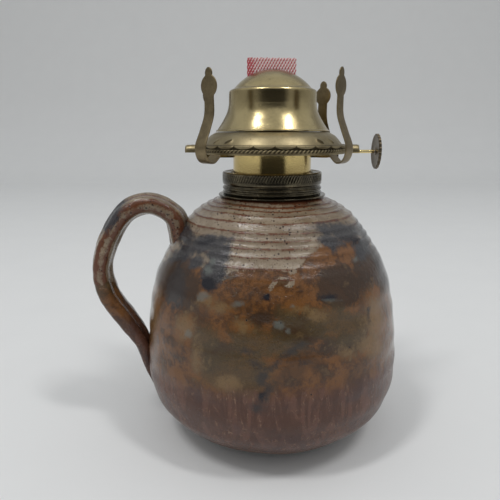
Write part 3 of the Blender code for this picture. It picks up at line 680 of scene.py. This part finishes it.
def makeCollar(brass):
    radius, bead = collarSet["radius"], collarSet["bead"]
    foot, top = collarSet["foot"], collarSet["top"]
    swing = np.radians(np.linspace(-70, 70, 7))
    beads = []
    for middle in (126.4, 128.4):
        beads += [(radius - bead + bead * math.cos(a), middle + bead * math.sin(a)) for a in swing]
    bend = np.radians(np.linspace(0, 140, 8))
    lip = [(radius - bead + bead * math.cos(a), top - bead + bead * math.sin(a)) for a in bend]
    outline = np.vstack([
        rounded([
            (24.2, foot), (collarSet["flange"], foot), (collarSet["flange"], foot + 0.7),
            (radius - 0.6, foot + 0.9),
        ], 0.3),
        beads,
        rounded([
            (radius - 0.5, 129.5), (radius - 0.7, 130.1), (radius - 0.1, 130.8), (radius, 131.6),
            (radius, 132.1), (radius, 134.0), (radius, 135.9),
        ], 0.3),
        lip,
        rounded([
            (radius - 2.0, top - 0.45), (collarSet["bore"] + 0.5, top - 0.7), (collarSet["bore"], top - 1.4),
            (collarSet["bore"], 130.7), (24.2, 130.7), (24.2, foot),
        ], 0.2)[:-1],
    ])
    low, high = collarSet["tickLow"], collarSet["tickHigh"]
    band = np.linspace(low, high, 12)
    keep = (outline[:, 1] < low) | (outline[:, 1] > high) | (outline[:, 0] < radius - 0.4)
    firstAbove = np.argmax((outline[:, 1] > high) & keep)
    outline = np.vstack([
        outline[:firstAbove][keep[:firstAbove]], np.column_stack([np.full(12, radius), band]),
        outline[firstAbove:][keep[firstAbove:]],
    ])
    grid = lathe(outline, collarSet["columns"])
    turn = np.arctan2(grid[..., 1], grid[..., 0])
    height = grid[..., 2]
    inBand = np.clip((height - low) / 0.5, 0, 1) * np.clip((high - height) / 0.5, 0, 1)
    inBand = inBand * (np.hypot(grid[..., 0], grid[..., 1]) > radius - 0.4)
    worn = 0.55 + 0.45 * np.sin(2 * turn + 0.6) * np.sin(5 * turn)
    ticks = np.cos(collarSet["ticks"] * turn - 1.9 * (height - low))
    push = -collarSet["tickDepth"] * inBand * worn * np.clip(ticks + 0.3, 0, 1.3)
    factor = 1 + push / radius
    grid[..., 0] *= factor
    grid[..., 1] *= factor
    grime = inBand * np.clip(ticks + 0.3, 0, 1) * worn
    mesh = surfaceMesh("collar", grid, fields={"Grime": grime}, wrapRows=True)
    metal = brassMaterial(
        "collarBrass", brass, (0.26, 0.22, 0.14), (0.07, 0.06, 0.042), (0.010, 0.008, 0.007), 0.60, 0.15)
    piece("collarKnurled", mesh, "lamp", metal, ["collar"], 50)


# burner base: screw plug, bright cylinder, and the air plate with its ring of holes
baseSet = {
    "low": 131.0, "plug": 21.8, "radius": 20.4, "plateRadius": 36.3, "plateLow": 146.4, "plateTop": 147.2,
    "holes": 20, "holeRadius": 1.5, "slotX": 13.7, "slotY": 2.8, "troughHalf": 2.2, "troughDrop": 2.8,
}


def ring(radius, count, middle=(0.0, 0.0), offset=0.0):
    turn = 2 * math.pi * (np.arange(count) + offset) / count
    return np.column_stack([middle[0] + radius * np.cos(turn), middle[1] + radius * np.sin(turn)])


def makeBase(brass):
    low, radius, plug, plate = (baseSet[key] for key in ("low", "radius", "plug", "plateLow"))
    outline = rounded([
        (0.0, low), (plug, low), (plug, low + 1.2), (plug - 0.7, low + 1.6), (plug, low + 2.0),
        (plug, low + 3.2), (plug - 0.7, low + 3.6), (plug, low + 4.4), (radius, low + 5.0), (radius, plate),
        (baseSet["plateRadius"], plate), (baseSet["plateRadius"], baseSet["plateTop"]),
        (radius - 1.0, baseSet["plateTop"]), (radius - 1.0, low + 1.0), (0.0, low + 1.0),
    ], 0.25)
    mesh = surfaceMesh("base", lathe(outline, 192))
    places = [spot for spot in ring(28.3, baseSet["holes"], offset=0.5) if abs(spot[1] - 6.0) > 4.2]
    tools = [
        prism("airHole%d" % index, ring(baseSet["holeRadius"], 20, spot), plate - 0.6, plate + 1.6)
        for index, spot in enumerate(places)
    ]
    # the rod's room, a slot through plate and wall
    half = baseSet["troughHalf"] - 0.8
    reach = baseSet["plateRadius"] + 1
    slot = [(-reach, 6.0 - half), (reach, 6.0 - half), (reach, 6.0 + half), (-reach, 6.0 + half)]
    tools.append(prism("rodRoom", slot, plate - baseSet["troughDrop"] + 0.8, plate + 2))
    x, y = baseSet["slotX"], baseSet["slotY"]
    tools.append(prism("wickSlot", [(-x, -y), (x, -y), (x, y), (-x, y)], low - 1, low + 2))
    mesh = cutAway(mesh, tools, "baseSolid")
    metal = brassMaterial(
        "baseBrass", brass, (0.72, 0.55, 0.23), (0.50, 0.36, 0.13), (0.14, 0.08, 0.03), 0.40, 0.15, 0.4)
    piece("burnerBase", mesh, "lamp", metal, ["burner_base"], 35)
    # a trough under the plate on each side, where the rod lies
    half, deep = baseSet["troughHalf"], plate - baseSet["troughDrop"]
    section = np.array([
        (6.0 - half, plate + 0.1), (6.0 - half, deep + 0.4), (6.4 - half, deep), (5.6 + half, deep),
        (6.0 + half, deep + 0.4), (6.0 + half, plate + 0.1), (5.2 + half, plate + 0.1),
        (5.2 + half, deep + 0.8),
        (6.8 - half, deep + 0.8), (6.8 - half, plate + 0.1),
    ])
    for sign in (1, -1):
        rings = [
            np.column_stack([np.full(len(section), sign * x), section])
            for x in (19.2, 28.0, baseSet["plateRadius"] - 0.8)
        ]
        mesh = surfaceMesh("trough", np.array(rings), capEnds=True)
        piece("rodTrough" + ("Right" if sign > 0 else "Left"), mesh, "lamp", metal, sharp=35)


# gallery: lip, rope edge, crimped seat and a sloping skirt with pierced slits
gallerySet = {
    "seat": 37.9, "seatHeight": 150.7, "lip": 37.8, "lipLow": 146.1, "rope": 0.85, "ropeAt": 147.75,
    "twists": 118, "crimps": 24, "crimpDepth": 0.7, "slitLength": 3.9, "slitWidth": 1.2, "slitAt": 34.8,
    "slitSpread": 7.0, "slitLean": 72.0, "shaftY": 6.0, "shaftHeight": 146.7,
    "lugInner": 36.3, "lugReach": 46.3, "lugWidth": 6.4, "lugTop": 150.4, "lugWall": 0.8,
}


def makeGallery(brass, metal):
    part = gallerySet
    seat, top = part["seat"], part["seatHeight"]
    wall = np.linspace(part["ropeAt"], top - 0.5, 14)
    skirt = curve([(seat - 2.0, top), (seat - 5.3, top + 3.85), (seat - 8.8, top + 5.95)], 12)
    outline = np.vstack([
        np.column_stack([np.full(14, seat - 0.05), wall]),
        rounded([(seat - 0.05, top - 0.4), (seat - 0.25, top), (seat - 1.2, top), skirt[0]], 0.25, 4)[1:-1],
        skirt,
        rounded([
            (seat - 9.2, top + 6.0), (seat - 12.0, top + 6.0), (seat - 12.0, top + 5.3),
            (seat - 9.2, top + 5.2), (seat - 5.8, top + 3.1), (seat - 2.4, top - 0.7),
            (seat - 1.2, top - 0.9), (seat - 1.1, part["ropeAt"]),
        ], 0.4, 4),
    ])
    columns = 576
    grid = lathe(outline, columns)
    turn = np.arctan2(grid[..., 1], grid[..., 0])
    radius = np.hypot(grid[..., 0], grid[..., 1])
    # scallops pressed into the edge: arches whose feet stand on the rope
    arch = np.abs(np.sin(part["crimps"] / 2 * turn)) ** 0.5
    rise = (grid[..., 2] - part["ropeAt"]) / (top - part["ropeAt"])
    onWall = (radius > seat - 1.0) & (grid[..., 2] > part["ropeAt"] + 0.1)
    pressed = np.clip((rise - 0.30 - 0.55 * (1 - arch)) / 0.12, 0, 1) * np.clip((1.02 - rise) / 0.25, 0.3, 1)
    inward = part["crimpDepth"] * (1 - pressed) * onWall * np.clip(rise * 4, 0, 1)
    grid[..., :2] *= (1 - inward / seat)[..., None]
    for quarter in range(4):
        for sign in (1, -1):
            # a pierced slit has a raised lip round it
            middle = math.radians(45 + 90 * quarter + sign * part["slitSpread"])
            lean = math.radians(part["slitLean"] if quarter % 2 else -part["slitLean"])
            off = (turn - middle + math.pi) % (2 * math.pi) - math.pi
            u = (radius - part["slitAt"]) * math.cos(lean) + off * radius * math.sin(lean)
            v = -(radius - part["slitAt"]) * math.sin(lean) + off * radius * math.cos(lean)
            lifted = np.exp(-(u / 2.2) ** 4 - ((v - 0.2) / 0.9) ** 2)
            grid[..., 2] += 0.45 * lifted * (radius < seat - 1.9) * (grid[..., 2] > top)
    grime = 0.9 * (1 - pressed) * onWall
    mesh = surfaceMesh("gallery", grid, fields={"Grime": grime}, wrapRows=True)
    tools = []
    for quarter in range(4):
        for sign in (1, -1):
            middle = math.radians(45 + 90 * quarter + sign * part["slitSpread"])
            lean = math.radians(part["slitLean"] if quarter % 2 else -part["slitLean"])
            half, thin = part["slitLength"] / 2, part["slitWidth"] / 2
            shape = ring(1.0, 16) * (half, thin)
            across = shape[:, 0] * math.sin(lean) + shape[:, 1] * math.cos(lean)
            out = part["slitAt"] + shape[:, 0] * math.cos(lean) - shape[:, 1] * math.sin(lean)
            outlineXy = np.column_stack([
                out * math.cos(middle) - across * math.sin(middle),
                out * math.sin(middle) + across * math.cos(middle),
            ])
            tools.append(prism("slit%d%d" % (quarter, sign), outlineXy, top - 2, top + 8))
    mesh = cutAway(mesh, tools, "gallerySolid")
    piece("gallerySkirt", mesh, "lamp", metal, ["gallery"], 50)

    # rope edge: a two-lobed section that turns as it goes round
    around = np.linspace(0.0, 2 * math.pi, part["twists"] * 9, endpoint=False)[:, None]
    section = np.linspace(0.0, 2 * math.pi, 14, endpoint=False)[None, :]
    thick = part["rope"] * (0.80 + 0.24 * np.cos(2 * section - part["twists"] * around))
    out = np.minimum(seat - 0.25 + thick * np.cos(section), seat + 0.62)
    height = part["ropeAt"] + thick * np.sin(section) * 1.05
    grid = np.stack([out * np.cos(around), out * np.sin(around), height], axis=-1)
    grime = np.clip(0.62 - 0.75 * np.cos(2 * section - part["twists"] * around), 0, 1)
    mesh = surfaceMesh("rope", grid, fields={"Grime": grime}, wrapRows=True)
    piece("galleryRope", mesh, "lamp", metal, sharp=60)

    # lip below the rope
    outline = rounded([
        (part["lip"] - 1.2, part["ropeAt"]), (part["lip"] - 1.2, part["lipLow"]),
        (part["lip"], part["lipLow"]),
        (part["lip"], part["lipLow"] + 0.8), (part["lip"] - 0.2, part["ropeAt"]),
    ], 0.25)
    mesh = surfaceMesh("lip", lathe(outline, 240), wrapRows=True)
    piece("galleryLip", mesh, "lamp", metal, sharp=50)

    for sign in (1, -1):
        # lug: a tunnel with a round crown; the end away from the knob is closed and rounded
        half, wall = part["lugWidth"] / 2, part["lugWall"]
        foot = part["lipLow"] + 0.2
        swing = np.linspace(0.0, math.pi, 17)
        crown = np.column_stack([half * np.cos(swing), part["lugTop"] - half + half * np.sin(swing)])
        outside = np.vstack([[(half, foot)], crown, [(-half, foot)]])
        stops = np.array([0.0, 0.6, 0.9, 0.98, 1.0])
        shrink = np.array([0.0, 0.0, 0.05, 0.16, 0.35])
        reach = part["lugReach"] - part["lugInner"]
        rings = []
        for stop, less in zip(stops, shrink):
            less = less if sign < 0 else less * 0.3
            y = part["shaftY"] + outside[:, 0] * (1 - less)
            z = foot + (outside[:, 1] - foot) * (1 - less * 0.8)
            rings.append(np.column_stack([np.full(len(y), sign * (part["lugInner"] + reach * stop)), y, z]))
        grid = np.array(rings)
        mesh = surfaceMesh("lug", grid, wrapColumns=True, capEnds=True)
        tools = []
        if sign > 0:
            near, far = part["shaftY"] - half + wall, part["shaftY"] + half - wall
            start, end = part["lugInner"] - 2, part["lugReach"] + 1
            room = [(start, near), (end, near), (end, far), (start, far)]
            tools.append(prism("lugRoom", room, foot - 1, part["shaftHeight"] + 1.8))
            mesh = cutAway(mesh, tools, "lugSolid")
        name = "galleryLug" + ("Right" if sign > 0 else "Left")
        piece(name, mesh, "lamp", metal, sharp=50)


# deflector: flared bell, step and dome in one sheet, with the wick's slot
bellSet = {
    "foot": 157.0, "line": [(29.1, 0.0), (25.7, 5.0), (23.3, 9.6), (22.4, 13.4)],
    "domeRadius": 20.2, "domeFoot": 177.5, "domeTop": 187.4, "sheet": 0.6,
    "slotX": 13.5, "slotY": 2.7,
}


def makeBell(brass):
    part = bellSet
    line = curve(part["line"], 14)
    line[:, 1] += part["foot"]
    # the dome is a part of a sphere
    domeRise = part["domeTop"] - part["domeFoot"]
    sphere = (part["domeRadius"] ** 2 + domeRise ** 2) / (2 * domeRise)
    swing = np.linspace(math.acos(part["domeRadius"] / sphere), math.pi / 2, 26)
    dome = np.column_stack([sphere * np.cos(swing), part["domeTop"] - sphere + sphere * np.sin(swing)])
    dome[-1, 0] = 0.0
    shoulder = rounded([
        (22.4, part["foot"] + 13.4), (22.35, part["foot"] + 17.5), (22.3, part["foot"] + 19.5),
        (21.6, part["domeFoot"] - 0.1), (20.7, part["domeFoot"] - 0.05), tuple(dome[1]), tuple(dome[2]),
    ], 0.5)[1:-1]
    foot = part["foot"]
    footRoll = rounded([(29.2, foot + 0.05), (29.25, foot + 0.5), (28.6, foot + 0.9)], 0.4)
    outside = np.vstack([footRoll, line[3:], shoulder, dome[2:]])
    inside = outside - part["sheet"] * rightOf(outside)
    inside[-1, 0] = 0.0
    inside[:, 1] = np.maximum(inside[:, 1], part["foot"])
    inside[:, 0] = np.maximum(inside[:, 0], 0.0)
    outline = np.vstack([inside[::-1], outside])
    grid = lathe(outline, 288)
    turn = np.arctan2(grid[..., 1], grid[..., 0])
    push = 0.05 * ripple(grid, 16.0, 21)
    dent = 0.28 * np.exp(-((turn + 1.7) / 0.22) ** 2 - ((grid[..., 2] - 160.0) / 2.0) ** 2)
    factor = 1 + (push - dent) / 24.0
    grid[..., 0] *= factor
    grid[..., 1] *= factor
    mesh = surfaceMesh("bell", grid)
    x, y = part["slotX"], part["slotY"]
    slot = rounded([(0, -y), (x, -y), (x, y), (-x, y), (-x, -y), (0, -y)], 0.8)[:-1]
    mesh = cutAway(mesh, [prism("wickSlot", slot, part["domeFoot"], part["domeTop"] + 1)], "bellSolid")
    metal = brassMaterial(
        "bellBrass", brass, (0.47, 0.38, 0.20), (0.32, 0.255, 0.13), (0.08, 0.06, 0.035), 0.48, 0.22)
    piece("bellDome", mesh, "lamp", metal, ["deflector"], 35)


# prongs: sprung strips with a disc and a nub, hooked under the rim
prongSet = {
    "high": 34.1, "discDrop": 8.0, "disc": 4.9, "nubDrop": 2.5, "nub": 2.15, "nubNeck": 1.2,
    "neck": 5.4, "foot": 7.0, "sheet": 0.8, "rows": 170, "twist": 7.0,
    "line": [
        (4.3, 34.1), (4.1, 21.7), (4.3, 13.7), (6.9, 6.7), (9.9, -0.7), (8.5, -6.4), (4.9, -8.0),
        (1.1, -4.9),
    ],
    "turns": {"prong_fr": -45.0, "prong_fl": -135.0, "prong_br": 45.0, "prong_bl": 147.0},
}


def makeProngs(metals):
    part = prongSet
    line = evenly(curve(part["line"], 24), part["rows"])
    out, rise = line[:, 0] + gallerySet["seat"], line[:, 1]
    side = rightOf(line)
    discAt, nubAt = part["high"] - part["discDrop"], part["high"] - part["nubDrop"]
    share = np.clip((discAt - rise) / (discAt - part["line"][-1][1]), 0.0, 1.0)
    strip = np.where(rise < discAt, part["neck"] + (part["foot"] - part["neck"]) * share, part["nubNeck"])
    disc = np.sqrt(np.clip(part["disc"] ** 2 - (rise - discAt) ** 2, 0.0, None)) * 2
    above = (rise - nubAt) * part["nub"] / part["nubDrop"]
    nub = np.sqrt(np.clip(part["nub"] ** 2 - above ** 2, 0.0, None)) * 2
    half = np.maximum(np.maximum(strip, disc), nub) / 2
    half[0] = 0.35
    half = np.convolve(np.pad(half, 1, mode="edge"), [0.2, 0.6, 0.2], mode="valid")
    # section: a flat strip with rounded edges
    swing = np.linspace(0.0, 2 * math.pi, 20, endpoint=False)
    edge = part["sheet"] / 2
    u = np.sign(np.cos(swing)) * np.abs(np.cos(swing)) ** 0.35
    v = np.sign(np.sin(swing)) * np.abs(np.sin(swing)) ** 0.6
    across = u[None, :] * half[:, None]
    deep = v[None, :] * edge
    twist = math.radians(part["twist"])
    for name, turn in part["turns"].items():
        bent = 0.25 * np.sin(rise * 0.12 + turn) * np.clip(rise / 30, 0, 1)
        x = (out - bent * 0.6)[:, None] + side[:, :1] * deep - across * math.sin(twist)
        y = across * math.cos(twist)
        z = gallerySet["seatHeight"] + rise[:, None] + side[:, 1:2] * deep
        angle = math.radians(turn)
        grid = np.stack([
            x * math.cos(angle) - y * math.sin(angle), x * math.sin(angle) + y * math.cos(angle), z,
        ], axis=-1)
        mesh = surfaceMesh(name, grid, capEnds=True)
        piece("strap" + name[-2:].capitalize(), mesh, "lamp", metals, [name], 40)


# wheel: rod, two spurs and a notched, slightly dished knob with a hub
wheelSet = {
    "height": 146.7, "y": 6.0, "rod": 0.9, "start": -13.9, "knobAt": 55.2, "knob": 9.3, "knobThick": 1.5,
    "notches": 20, "notch": 0.55, "spur": 4.2, "spurTooth": 1.0, "spurTeeth": 10, "spurAt": 6.3,
    "spurWidth": 1.6,
}


def alongX(radius, x, columns, factor=None):
    # rings of given radii round the rod's axis; factor changes each ring's outline
    turn = np.linspace(0.0, 2 * math.pi, columns, endpoint=False)
    shape = radius[:, None] * (factor if factor is not None else 1.0 + 0 * turn)
    return np.stack([
        x[:, None] + 0 * shape, wheelSet["y"] + shape * np.cos(turn),
        wheelSet["height"] + shape * np.sin(turn),
    ], axis=-1)


def makeWheel(brass):
    part = wheelSet
    rod, end = part["rod"], part["knobAt"] - gap
    radii = np.array([0.0, rod - 0.25, rod, rod, rod, rod - 0.1, 0.0])
    places = np.array([part["start"], part["start"], part["start"] + 0.25, 20.0, end - 0.1, end, end])
    bright = brassMaterial(
        "rodBrass", brass, (0.82, 0.66, 0.32), (0.6, 0.46, 0.2), (0.2, 0.13, 0.06), 0.35, 0.16, 0.3)
    mesh = surfaceMesh("rod", alongX(radii, places, 40))
    piece("wheelRod", mesh, "wheel", bright, ["wick_shaft"], 40)
    turn = np.linspace(0.0, 2 * math.pi, part["spurTeeth"] * 8, endpoint=False)
    tooth = 1 - part["spurTooth"] / part["spur"] * (0.5 - 0.5 * np.cos(part["spurTeeth"] * turn)) ** 0.8
    for number, at in enumerate((-part["spurAt"], part["spurAt"])):
        half = part["spurWidth"] / 2
        spur = part["spur"]
        radii = np.array([rod - 0.1, spur - 0.1, spur, spur, spur - 0.1, rod - 0.1])
        places = at + np.array([-half, -half, -half + 0.15, half - 0.15, half, half])
        rings = alongX(radii, places, len(turn), tooth)
        mesh = surfaceMesh("spur", rings, wrapRows=True)
        piece("wheelSpur%d" % number, mesh, "wheel", bright, sharp=50)
    # knob: notches bite into the rim, the face is dished and has a hub
    turn = np.linspace(0.0, 2 * math.pi, part["notches"] * 12, endpoint=False)
    wave = np.abs(np.sin(part["notches"] / 2 * turn)) ** 0.6
    big, thick, at = part["knob"], part["knobThick"], part["knobAt"]
    rim = [big - 1.3, big - 0.5, big]
    radii = np.array([0.0, 1.7, 2.0, 3.4, *rim, *rim[::-1], 3.6, 2.6, 2.2, 0.0])
    through = np.array([0.0, 0.0, 0.25, 0.32, 0.12, 0.0, 0.15, 0.85, 1.0, 0.9, 0.62, 0.7, 1.0, 1.0])
    places = at + through * thick
    bite = np.clip((radii[:, None] - big + 1.4) / 1.4, 0, 1)
    factor = 1 - bite * part["notch"] / big * (1 - wave)
    mesh = surfaceMesh("knob", alongX(radii, places, len(turn), factor))
    old = brassMaterial(
        "knobBrass", brass, (0.17, 0.132, 0.084), (0.115, 0.09, 0.06), (0.03, 0.024, 0.018), 0.55, 0.36)
    piece("wheelKnob", mesh, "wheel", old, ["wick_knob"], 40)


# wick: a woven tape, red and white, with a slightly wavy upper edge
wickSet = {"width": 25.0, "thick": 3.0, "low": 22.0, "high": 193.0, "slant": 0.4, "shift": -0.6, "rib": 1.3}


def wickMaterial():
    material, tree, shader, place = newMaterial("wickCotton")
    across = node(tree, "ShaderNodeAttribute", attribute_name="Across").outputs["Fac"]
    along = node(tree, "ShaderNodeAttribute", attribute_name="Along").outputs["Fac"]
    thread = node(tree, "ShaderNodeAttribute", attribute_name="Thread").outputs["Fac"]
    fuzz = cloud(tree, place, 3.0, 4.0, 0.7)
    wide = cloud(tree, place, 0.22, 3.0, 0.6)
    pushed = calc(tree, "MULTIPLY_ADD", calc(tree, "SUBTRACT", fuzz, 0.5), 0.6, thread)
    sideways = calc(tree, "MULTIPLY_ADD", calc(tree, "SUBTRACT", wide, 0.5), 6.0, across)
    redder = step(tree, sideways, -7.0, -11.5)
    mask = step(tree, calc(tree, "MULTIPLY_ADD", redder, 0.35, pushed), 0.40, 0.62)
    white = blend(tree, fuzz, (0.66, 0.48, 0.47), (0.86, 0.74, 0.72))
    red = blend(tree, fuzz, (0.40, 0.04, 0.055), (0.52, 0.09, 0.11))
    colour = blend(tree, mask, white, red)
    singe = step(tree, calc(tree, "MULTIPLY_ADD", calc(tree, "SUBTRACT", wide, 0.5), 1.0, along), 1.0, 0.0)
    colour = blend(tree, calc(tree, "MULTIPLY", singe, 0.25), colour, (0.35, 0.16, 0.15))
    tree.links.new(colour, shader.inputs["Base Color"])
    shader.inputs["Roughness"].default_value = 0.92
    shader.inputs["Sheen Weight"].default_value = 0.35
    shader.inputs["Sheen Roughness"].default_value = 0.5
    height = calc(tree, "MULTIPLY_ADD", fuzz, 0.12, calc(tree, "MULTIPLY", thread, 0.05))
    bump = node(tree, "ShaderNodeBump", {"Strength": 1.0, "Distance": 0.001, "Height": height})
    tree.links.new(bump.outputs[0], shader.inputs["Normal"])
    return material


def makeWick():
    # rings of a flat oval up the tape; the weave is two sets of slanting ribs that cross
    part = wickSet
    cotton = wickMaterial()
    rows = np.concatenate([np.linspace(0.0, 0.93, 60, endpoint=False), np.linspace(0.93, 1.0, 64)])
    # even steps round a rounded oblong
    halfWidth, halfThick, corner = part["width"] / 2 - 0.1, part["thick"] / 2 - 0.12, 1.1
    fineTurn = np.linspace(0.0, 2 * math.pi, 4000)
    straight = np.stack([
        np.sign(np.cos(fineTurn)) * np.minimum(np.abs(np.cos(fineTurn)) * 40, halfWidth - corner),
        np.sign(np.sin(fineTurn)) * np.minimum(np.abs(np.sin(fineTurn)) * 40, halfThick - corner),
    ], axis=1) + corner * np.stack([np.cos(fineTurn), np.sin(fineTurn)], axis=1)
    outline = evenly(straight, 301)[:-1]
    side = rightOf(np.vstack([outline, outline[:1]]))[:-1]
    x, y = outline[:, 0], outline[:, 1]
    left, right = part["high"] + part["slant"] / 2, part["high"] - part["slant"] / 2
    top = left + (right - left) * (x + part["width"] / 2) / part["width"] - 0.25
    top = top + 0.18 * np.sin(x * 2.3) + 0.12 * np.sin(x * 5.1 + 1.0)
    z = part["low"] + (top - part["low"]) * rows[:, None]
    down = (top - z) + 0 * x
    pace = 2 * math.pi / part["rib"]
    first = np.sin(pace * (0.86 * x - 0.50 * z))
    second = np.sin(pace * (0.86 * x + 0.50 * z))
    weave = np.maximum(first, second)
    cord = np.cos(pace * 0.5 * x)
    depth = 0.11 * (weave - 0.6) + 0.05 * cord
    thread = 0.5 + 0.5 * np.where(first > second, first, -0.6 + 0.3 * second)
    roundTop = np.clip(down / 0.5, 0, 1)
    shrink = 0.25 * (1 - roundTop)
    px = part["shift"] + x + side[:, 0] * (depth - shrink)
    py = y + side[:, 1] * (depth - shrink)
    grid = np.stack([px, py, z], axis=-1)
    across = x + 0 * z
    fields = {"Across": across, "Along": down / 3.0, "Thread": thread}
    mesh = surfaceMesh("wick", grid, fields=fields, capEnds=True)
    piece("wickTape", mesh, "tape", cotton, ["wick"], 70)


# stage: floor and backdrop in one sweep, two tall windows, soft light from all round
stageSet = {
    "floor": (0.80, 0.80, 0.795), "high": (1.12, 1.16, 1.18), "low": (0.64, 0.65, 0.66),
    "front": (0.46, 0.45, 0.44), "skyStrength": 0.515,
    "lamps": [
        {"azimuth": -48.0, "elevation": 61.0, "away": 1.6, "size": (0.17, 0.36), "power": 6.2},
        {"azimuth": 54.0, "elevation": 61.0, "away": 1.6, "size": (0.15, 0.36), "power": 5.3},
    ],
    "card": ((-450.0, 450.0), -620.0, (-60.0, 520.0)),
}


def makeStage():
    # a floor that bends up into a wall behind the lamp
    flat = np.array([(-2600.0, 0.0), (900.0, 0.0), (1500.0, 60.0), (1750.0, 500.0), (1800.0, 2400.0)])
    outline = evenly(curve(flat, 20), 60)
    side = np.linspace(-3200.0, 3200.0, 24)
    grid = np.stack([
        side[None, :] + 0 * outline[:, :1], outline[:, :1] + 0 * side, outline[:, 1:2] + 0 * side,
    ], axis=-1)
    mesh = surfaceMesh("sweep", grid, wrapColumns=False)
    mesh.shade_smooth()
    sweep = bpy.data.objects.new("studioSweep", mesh)
    bpy.context.collection.objects.link(sweep)
    material, tree, shader, place = newMaterial("paperFloor")
    mottled = blend(tree, cloud(tree, place, 0.02, 3.0, 0.5), stageSet["floor"], (0.77, 0.77, 0.768))
    tree.links.new(mottled, shader.inputs["Base Color"])
    shader.inputs["Roughness"].default_value = 0.65
    shader.inputs["Specular IOR Level"].default_value = 0.2
    mesh.materials.append(material)
    world = bpy.data.worlds.new("softRoom")
    world.use_nodes = True
    # bright overhead and behind the lamp, dim in the room in front of it
    tree = world.node_tree
    back = tree.nodes["Background"]
    way = node(tree, "ShaderNodeSeparateXYZ", {0: node(tree, "ShaderNodeTexCoord").outputs["Generated"]})
    sky = blend(tree, step(tree, way.outputs[2], 0.0, 0.7), stageSet["low"], stageSet["high"])
    nearness = calc(tree, "MULTIPLY_ADD", way.outputs[2], 0.9, way.outputs[1])
    sky = blend(tree, step(tree, nearness, -0.25, -0.8), sky, stageSet["front"])
    tree.links.new(sky, back.inputs[0])
    back.inputs[1].default_value = stageSet["skyStrength"]
    bpy.context.scene.world = world
    for number, lamp in enumerate(stageSet["lamps"]):
        data = bpy.data.lights.new("window%d" % number, "AREA")
        data.shape = "RECTANGLE"
        data.size, data.size_y = lamp["size"]
        data.energy = lamp["power"]
        light = bpy.data.objects.new("window%d" % number, data)
        azimuth, elevation = math.radians(lamp["azimuth"]), math.radians(lamp["elevation"])
        way = Vector((
            math.sin(azimuth) * math.cos(elevation), -math.cos(azimuth) * math.cos(elevation),
            math.sin(elevation),
        ))
        light.location = way * lamp["away"] + Vector((0.0, 0.0, 0.1))
        light.rotation_euler = way.to_track_quat("Z", "Y").to_euler()
        bpy.context.collection.objects.link(light)
    # the dark room behind the camera, seen only in the metal
    across, depth, rise = stageSet["card"]
    card = surfaceMesh("roomCard", np.array([
        [(x, depth, z) for x in across] for z in rise
    ]), wrapColumns=False)
    room = bpy.data.objects.new("roomCard", card)
    bpy.context.collection.objects.link(room)
    material, tree, shader, place = newMaterial("darkRoom")
    shader.inputs["Base Color"].default_value = (0.006, 0.005, 0.004, 1.0)
    card.materials.append(material)
    room.visible_camera = False
    room.visible_shadow = False
    room.visible_diffuse = False
    bpy.context.scene.view_settings.view_transform = "Standard"


makeCamera()
makeStage()
print("stage ready")
glaze = makeGlaze()
makePot(glaze)
makeHandle(glaze)
print("pot ready")
brass = makeBrass()
makeCollar(brass)
makeBase(brass)
print("collar and base ready")
satin = brassMaterial(
    "galleryBrass", brass, (0.33, 0.27, 0.155), (0.23, 0.185, 0.105), (0.02, 0.015, 0.010), 0.48, 0.40)
makeGallery(brass, satin)
makeBell(brass)
strapMetal = brassMaterial(
    "strapBrass", brass, (0.25, 0.195, 0.11), (0.155, 0.12, 0.07), (0.05, 0.038, 0.025), 0.52, 0.34)
makeProngs(strapMetal)
makeWheel(brass)
tubeMetal = brassMaterial(
    "tubeBrass", brass, (0.5, 0.4, 0.2), (0.36, 0.28, 0.15), (0.08, 0.06, 0.04), 0.5, 0.35)
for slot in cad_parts["wick_tube"].material_slots:
    slot.material = tubeMetal
makeWick()
print("burner ready")
